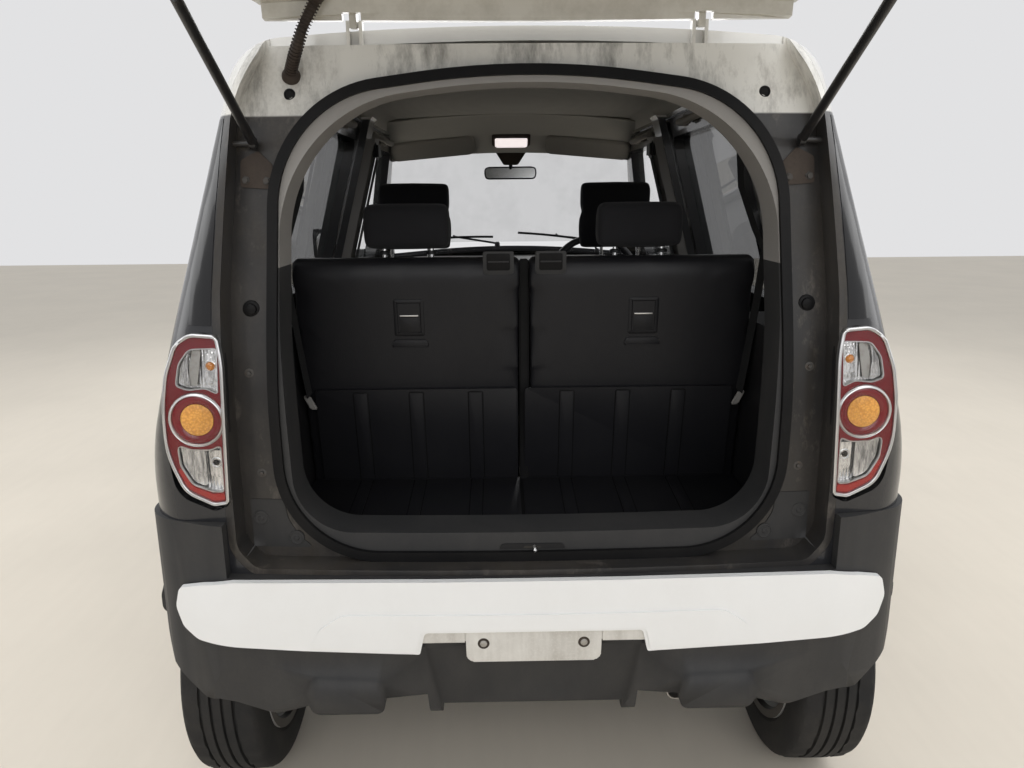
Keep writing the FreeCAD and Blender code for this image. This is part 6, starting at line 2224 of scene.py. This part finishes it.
@dataclass
class FrontFace:
    """Headlamps, grille bars and windscreen wipers, and the screws of the rear plate holder."""

    shop: Workshop
    repeater: Repeater
    lamp_x: float = 505.0
    lamp_z: float = 812.0
    lamp_r: float = 102.0

    def build(self) -> None:
        """Make the front's pieces."""
        for side in Side:
            self.headlamp(side)
        self.grille_bars()
        self.wipers()
        self.plate_screws()
        LOG.info("front made")

    def headlamp(self, side: Side) -> None:
        """Make one headlamp: domed lens, bowl, bulb shade and bright ring."""
        skin = Skin("headlamps")
        x = side.value * self.lamp_x
        face = skin.ahead(x, self.lamp_z, 3339)
        way = Vector((side.value * 0.16, 1, 0)).normalized()
        centre = at(x, face, self.lamp_z)
        r = self.lamp_r
        parts = (
            ("ring", [(-26, r), (-3, r + 0.5), (3.5, r - 1), (5, r - 5), (3, r - 10), (-3, r - 12),
                      (-26, r - 14)], 64, "lamp_silver", "lamp_lens", 50.0),
            ("bowl", [(-4, r - 12), (-12, r - 20), (-34, r - 48), (-46, 24), (-48, 0)], 48, "reflector",
             "lamp_lens", 35.0),
            ("shade", [(-46, 22), (-22, 24), (-12, 21), (-9, 12), (-8, 0)], 32, "lamp_silver", "lamp_lens",
             35.0),
            ("lens", [(-2, r - 9), (2, r - 16), (8, r * 0.55), (11, r * 0.25), (12, 0)], 64, "lens_clear",
             "lamp_lens", 35.0),
            ("body", [(-27, r), (-50, r - 6), (-52, 0)], 48, "under_black", "trim_black", 35.0))
        for name, profile, steps, finish, slot, smooth in parts:
            turned = lathe(profile, centre, way, steps)
            piece = self.shop.piece(f"headlamp_{name}_{side.word}", turned, finish, slot, smooth=smooth)
            if name == "ring" and side is Side.RIGHT:
                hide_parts("headlamps")

    def grille_bars(self) -> None:
        """Make the upright bars of the grille with a geometry tree."""
        skin = Skin("grille")
        foot = skin.ahead(0, 720, 3376)
        bar = block((-3, foot - 16 - SHIFT_Y * 1000 - foot, 0), (3, foot - 2 - SHIFT_Y * 1000 - foot, 170),
                    1.6)
        self.repeater.in_row("grille_bars", bar, at(-378, foot - 14, 722), Vector((0.036, 0, 0)), 22,
                             "black_plastic")
        mesh = block((-384, foot - 44, 716), (384, foot - 36, 900), 2)
        self.shop.piece("grille_back", mesh, "under_black")

    def wipers(self) -> None:
        """Make the windscreen's two wipers."""
        skin = Skin("windscreen", "cowl_panel", "hood")

        def low(x: float, y: float, lift: float) -> Vector:
            """Return a point over the glass."""
            return at(x, y, skin.above(x, y, 1080.0) + lift)

        for i, (x0, x1) in enumerate(((430, 60), (-60, -440))):
            arm = tube([low(x0, 2625, 10), low(x0 - 40, 2608, 18), low((x0 + x1) / 2, 2585, 22),
                        low((x0 + x1) / 2 - 20, 2574, 17)], 5, 10)
            self.shop.piece(f"wiper_arm_{i}", arm, "black_plastic")
            blade = tube([low(x0 - 20 - (x0 - x1) * k / 5, 2580 - 3 * k, 8) for k in range(6)], 5.5, 10)
            self.shop.piece(f"wiper_blade_{i}", blade, "seal_rubber")
            cap = lathe([(-6, 0), (-6, 13), (8, 12), (14, 8), (14, 0)], low(x0, 2625, 4), UP, 24)
            self.shop.piece(f"wiper_cap_{i}", cap, "black_plastic")

    def plate_screws(self) -> None:
        """Make the screws of the rear plate holder."""
        for side in Side:
            spot = at(side.value * 91, 6.0, 526)
            stain = lathe([(-0.5, 0), (-0.5, 11), (0.3, 10.6), (0.3, 0)], spot, BACK, 24)
            self.shop.piece(f"plate_stain_{side.word}", stain, "hose_brown", "rod_steel")
            screw = lathe([(0, 3.2), (0, 6.8), (1.6, 6.2), (2.6, 3.4), (2.6, 0)], spot, BACK, 20)
            self.shop.piece(f"plate_screw_{side.word}", screw, "steel")


@dataclass
class Wheels:
    """Nuts and hub caps of the four wheels."""

    shop: Workshop
    nuts: int = 4
    nut_circle: float = 0.050

    def build(self) -> None:
        """Make the fittings of the four wheels."""
        for place in ("front", "rear"):
            for side in Side:
                low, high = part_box(f"rim_{place}_{side.word}")
                centre = (low + high) / 2
                way = Vector((side.value, 0, 0))
                skin = Skin(f"rim_{place}_{side.word}")
                spot = skin.hit(centre + way * 0.3, -way)
                face = spot if spot is not None else centre + way * 0.044
                cap = lathe([(-4, 30), (3, 29), (9, 24), (12, 14), (12.6, 0)], face, way, 36)
                body = f"wheel_{place}_{side.word}"
                self.shop.piece(f"hub_cap_{place}_{side.word}", cap, "lamp_silver", "rim_paint", body=body)
                nuts = []
                for k in range(self.nuts):
                    angle = math.pi / 4 + k * math.pi / 2
                    around = Vector((0, math.cos(angle), math.sin(angle))) * self.nut_circle
                    start = skin.hit(centre + around + way * 0.3, -way)
                    base = start if start is not None else centre + around + way * 0.04
                    nuts.append(lathe([(-4, 0), (-4, 10.5), (1, 10.5), (1, 8.5), (12, 8.2), (14, 6),
                                       (14, 0)], base, way, 6))
                self.shop.piece(f"wheel_nuts_{place}_{side.word}", join(nuts), "steel", body=body)
        LOG.info("wheel fittings made")


@dataclass
class SillDetails:
    """Latch cover, slot and striker of the loading sill."""

    shop: Workshop

    def build(self) -> None:
        """Make the sill's details."""
        skin = Skin("sill_trim")

        def put(u: float, v: float, d: float) -> Vector:
            """Lay a point on the sill trim."""
            return at(u, skin.behind(held(u, (-430, 430)), v, 170.0) - 2.2 + d, v)

        cover = rounded([(-58, 648, 6), (58, 648, 6), (60, 694, 10), (-60, 694, 10)])
        self.shop.piece("latch_cover", draped(cover, put, 2.0, 12), "black_plastic")
        slot = rounded([(-16, 662, 4), (16, 662, 4), (16, 690, 4), (-16, 690, 4)])
        self.shop.piece("latch_slot", draped(slot, lambda u, v, d: put(u, v, d - 0.8), 1.0, 8),
                        "under_black")
        bar = tube([put(-6, 666, 0), put(-6, 674, -2.5), put(4, 682, -2.5), put(4, 690, 0)], 2.8, 10)
        self.shop.piece("gate_striker", bar, "rod_chrome")
        LOG.info("sill details made")


def main() -> None:
    """Build the car's dressing in order and report each part."""
    logging.basicConfig(level=logging.INFO, format="%(name)s: %(message)s")
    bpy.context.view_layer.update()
    studio = Studio()
    studio.camera()
    finishes = Finishes()
    Carried(finishes)
    studio.build()
    shop = Workshop(finishes)
    TailLamps(shop).build()
    Tyres(shop).build()
    repeater = Repeater(shop)
    padding = Padding(shop)
    RearSeats(shop, padding).build()
    FrontSeats(shop, padding).build()
    LuggageFloor(shop, repeater).build()
    TailBumper(shop).build()
    GutterFittings(shop).build()
    GateTrim(shop).build()
    CabinTrim(shop).build()
    SideTrim(shop).build()
    FrontFace(shop, repeater).build()
    Wheels(shop).build()
    SillDetails(shop).build()


if __name__ == "__main__":
    main()
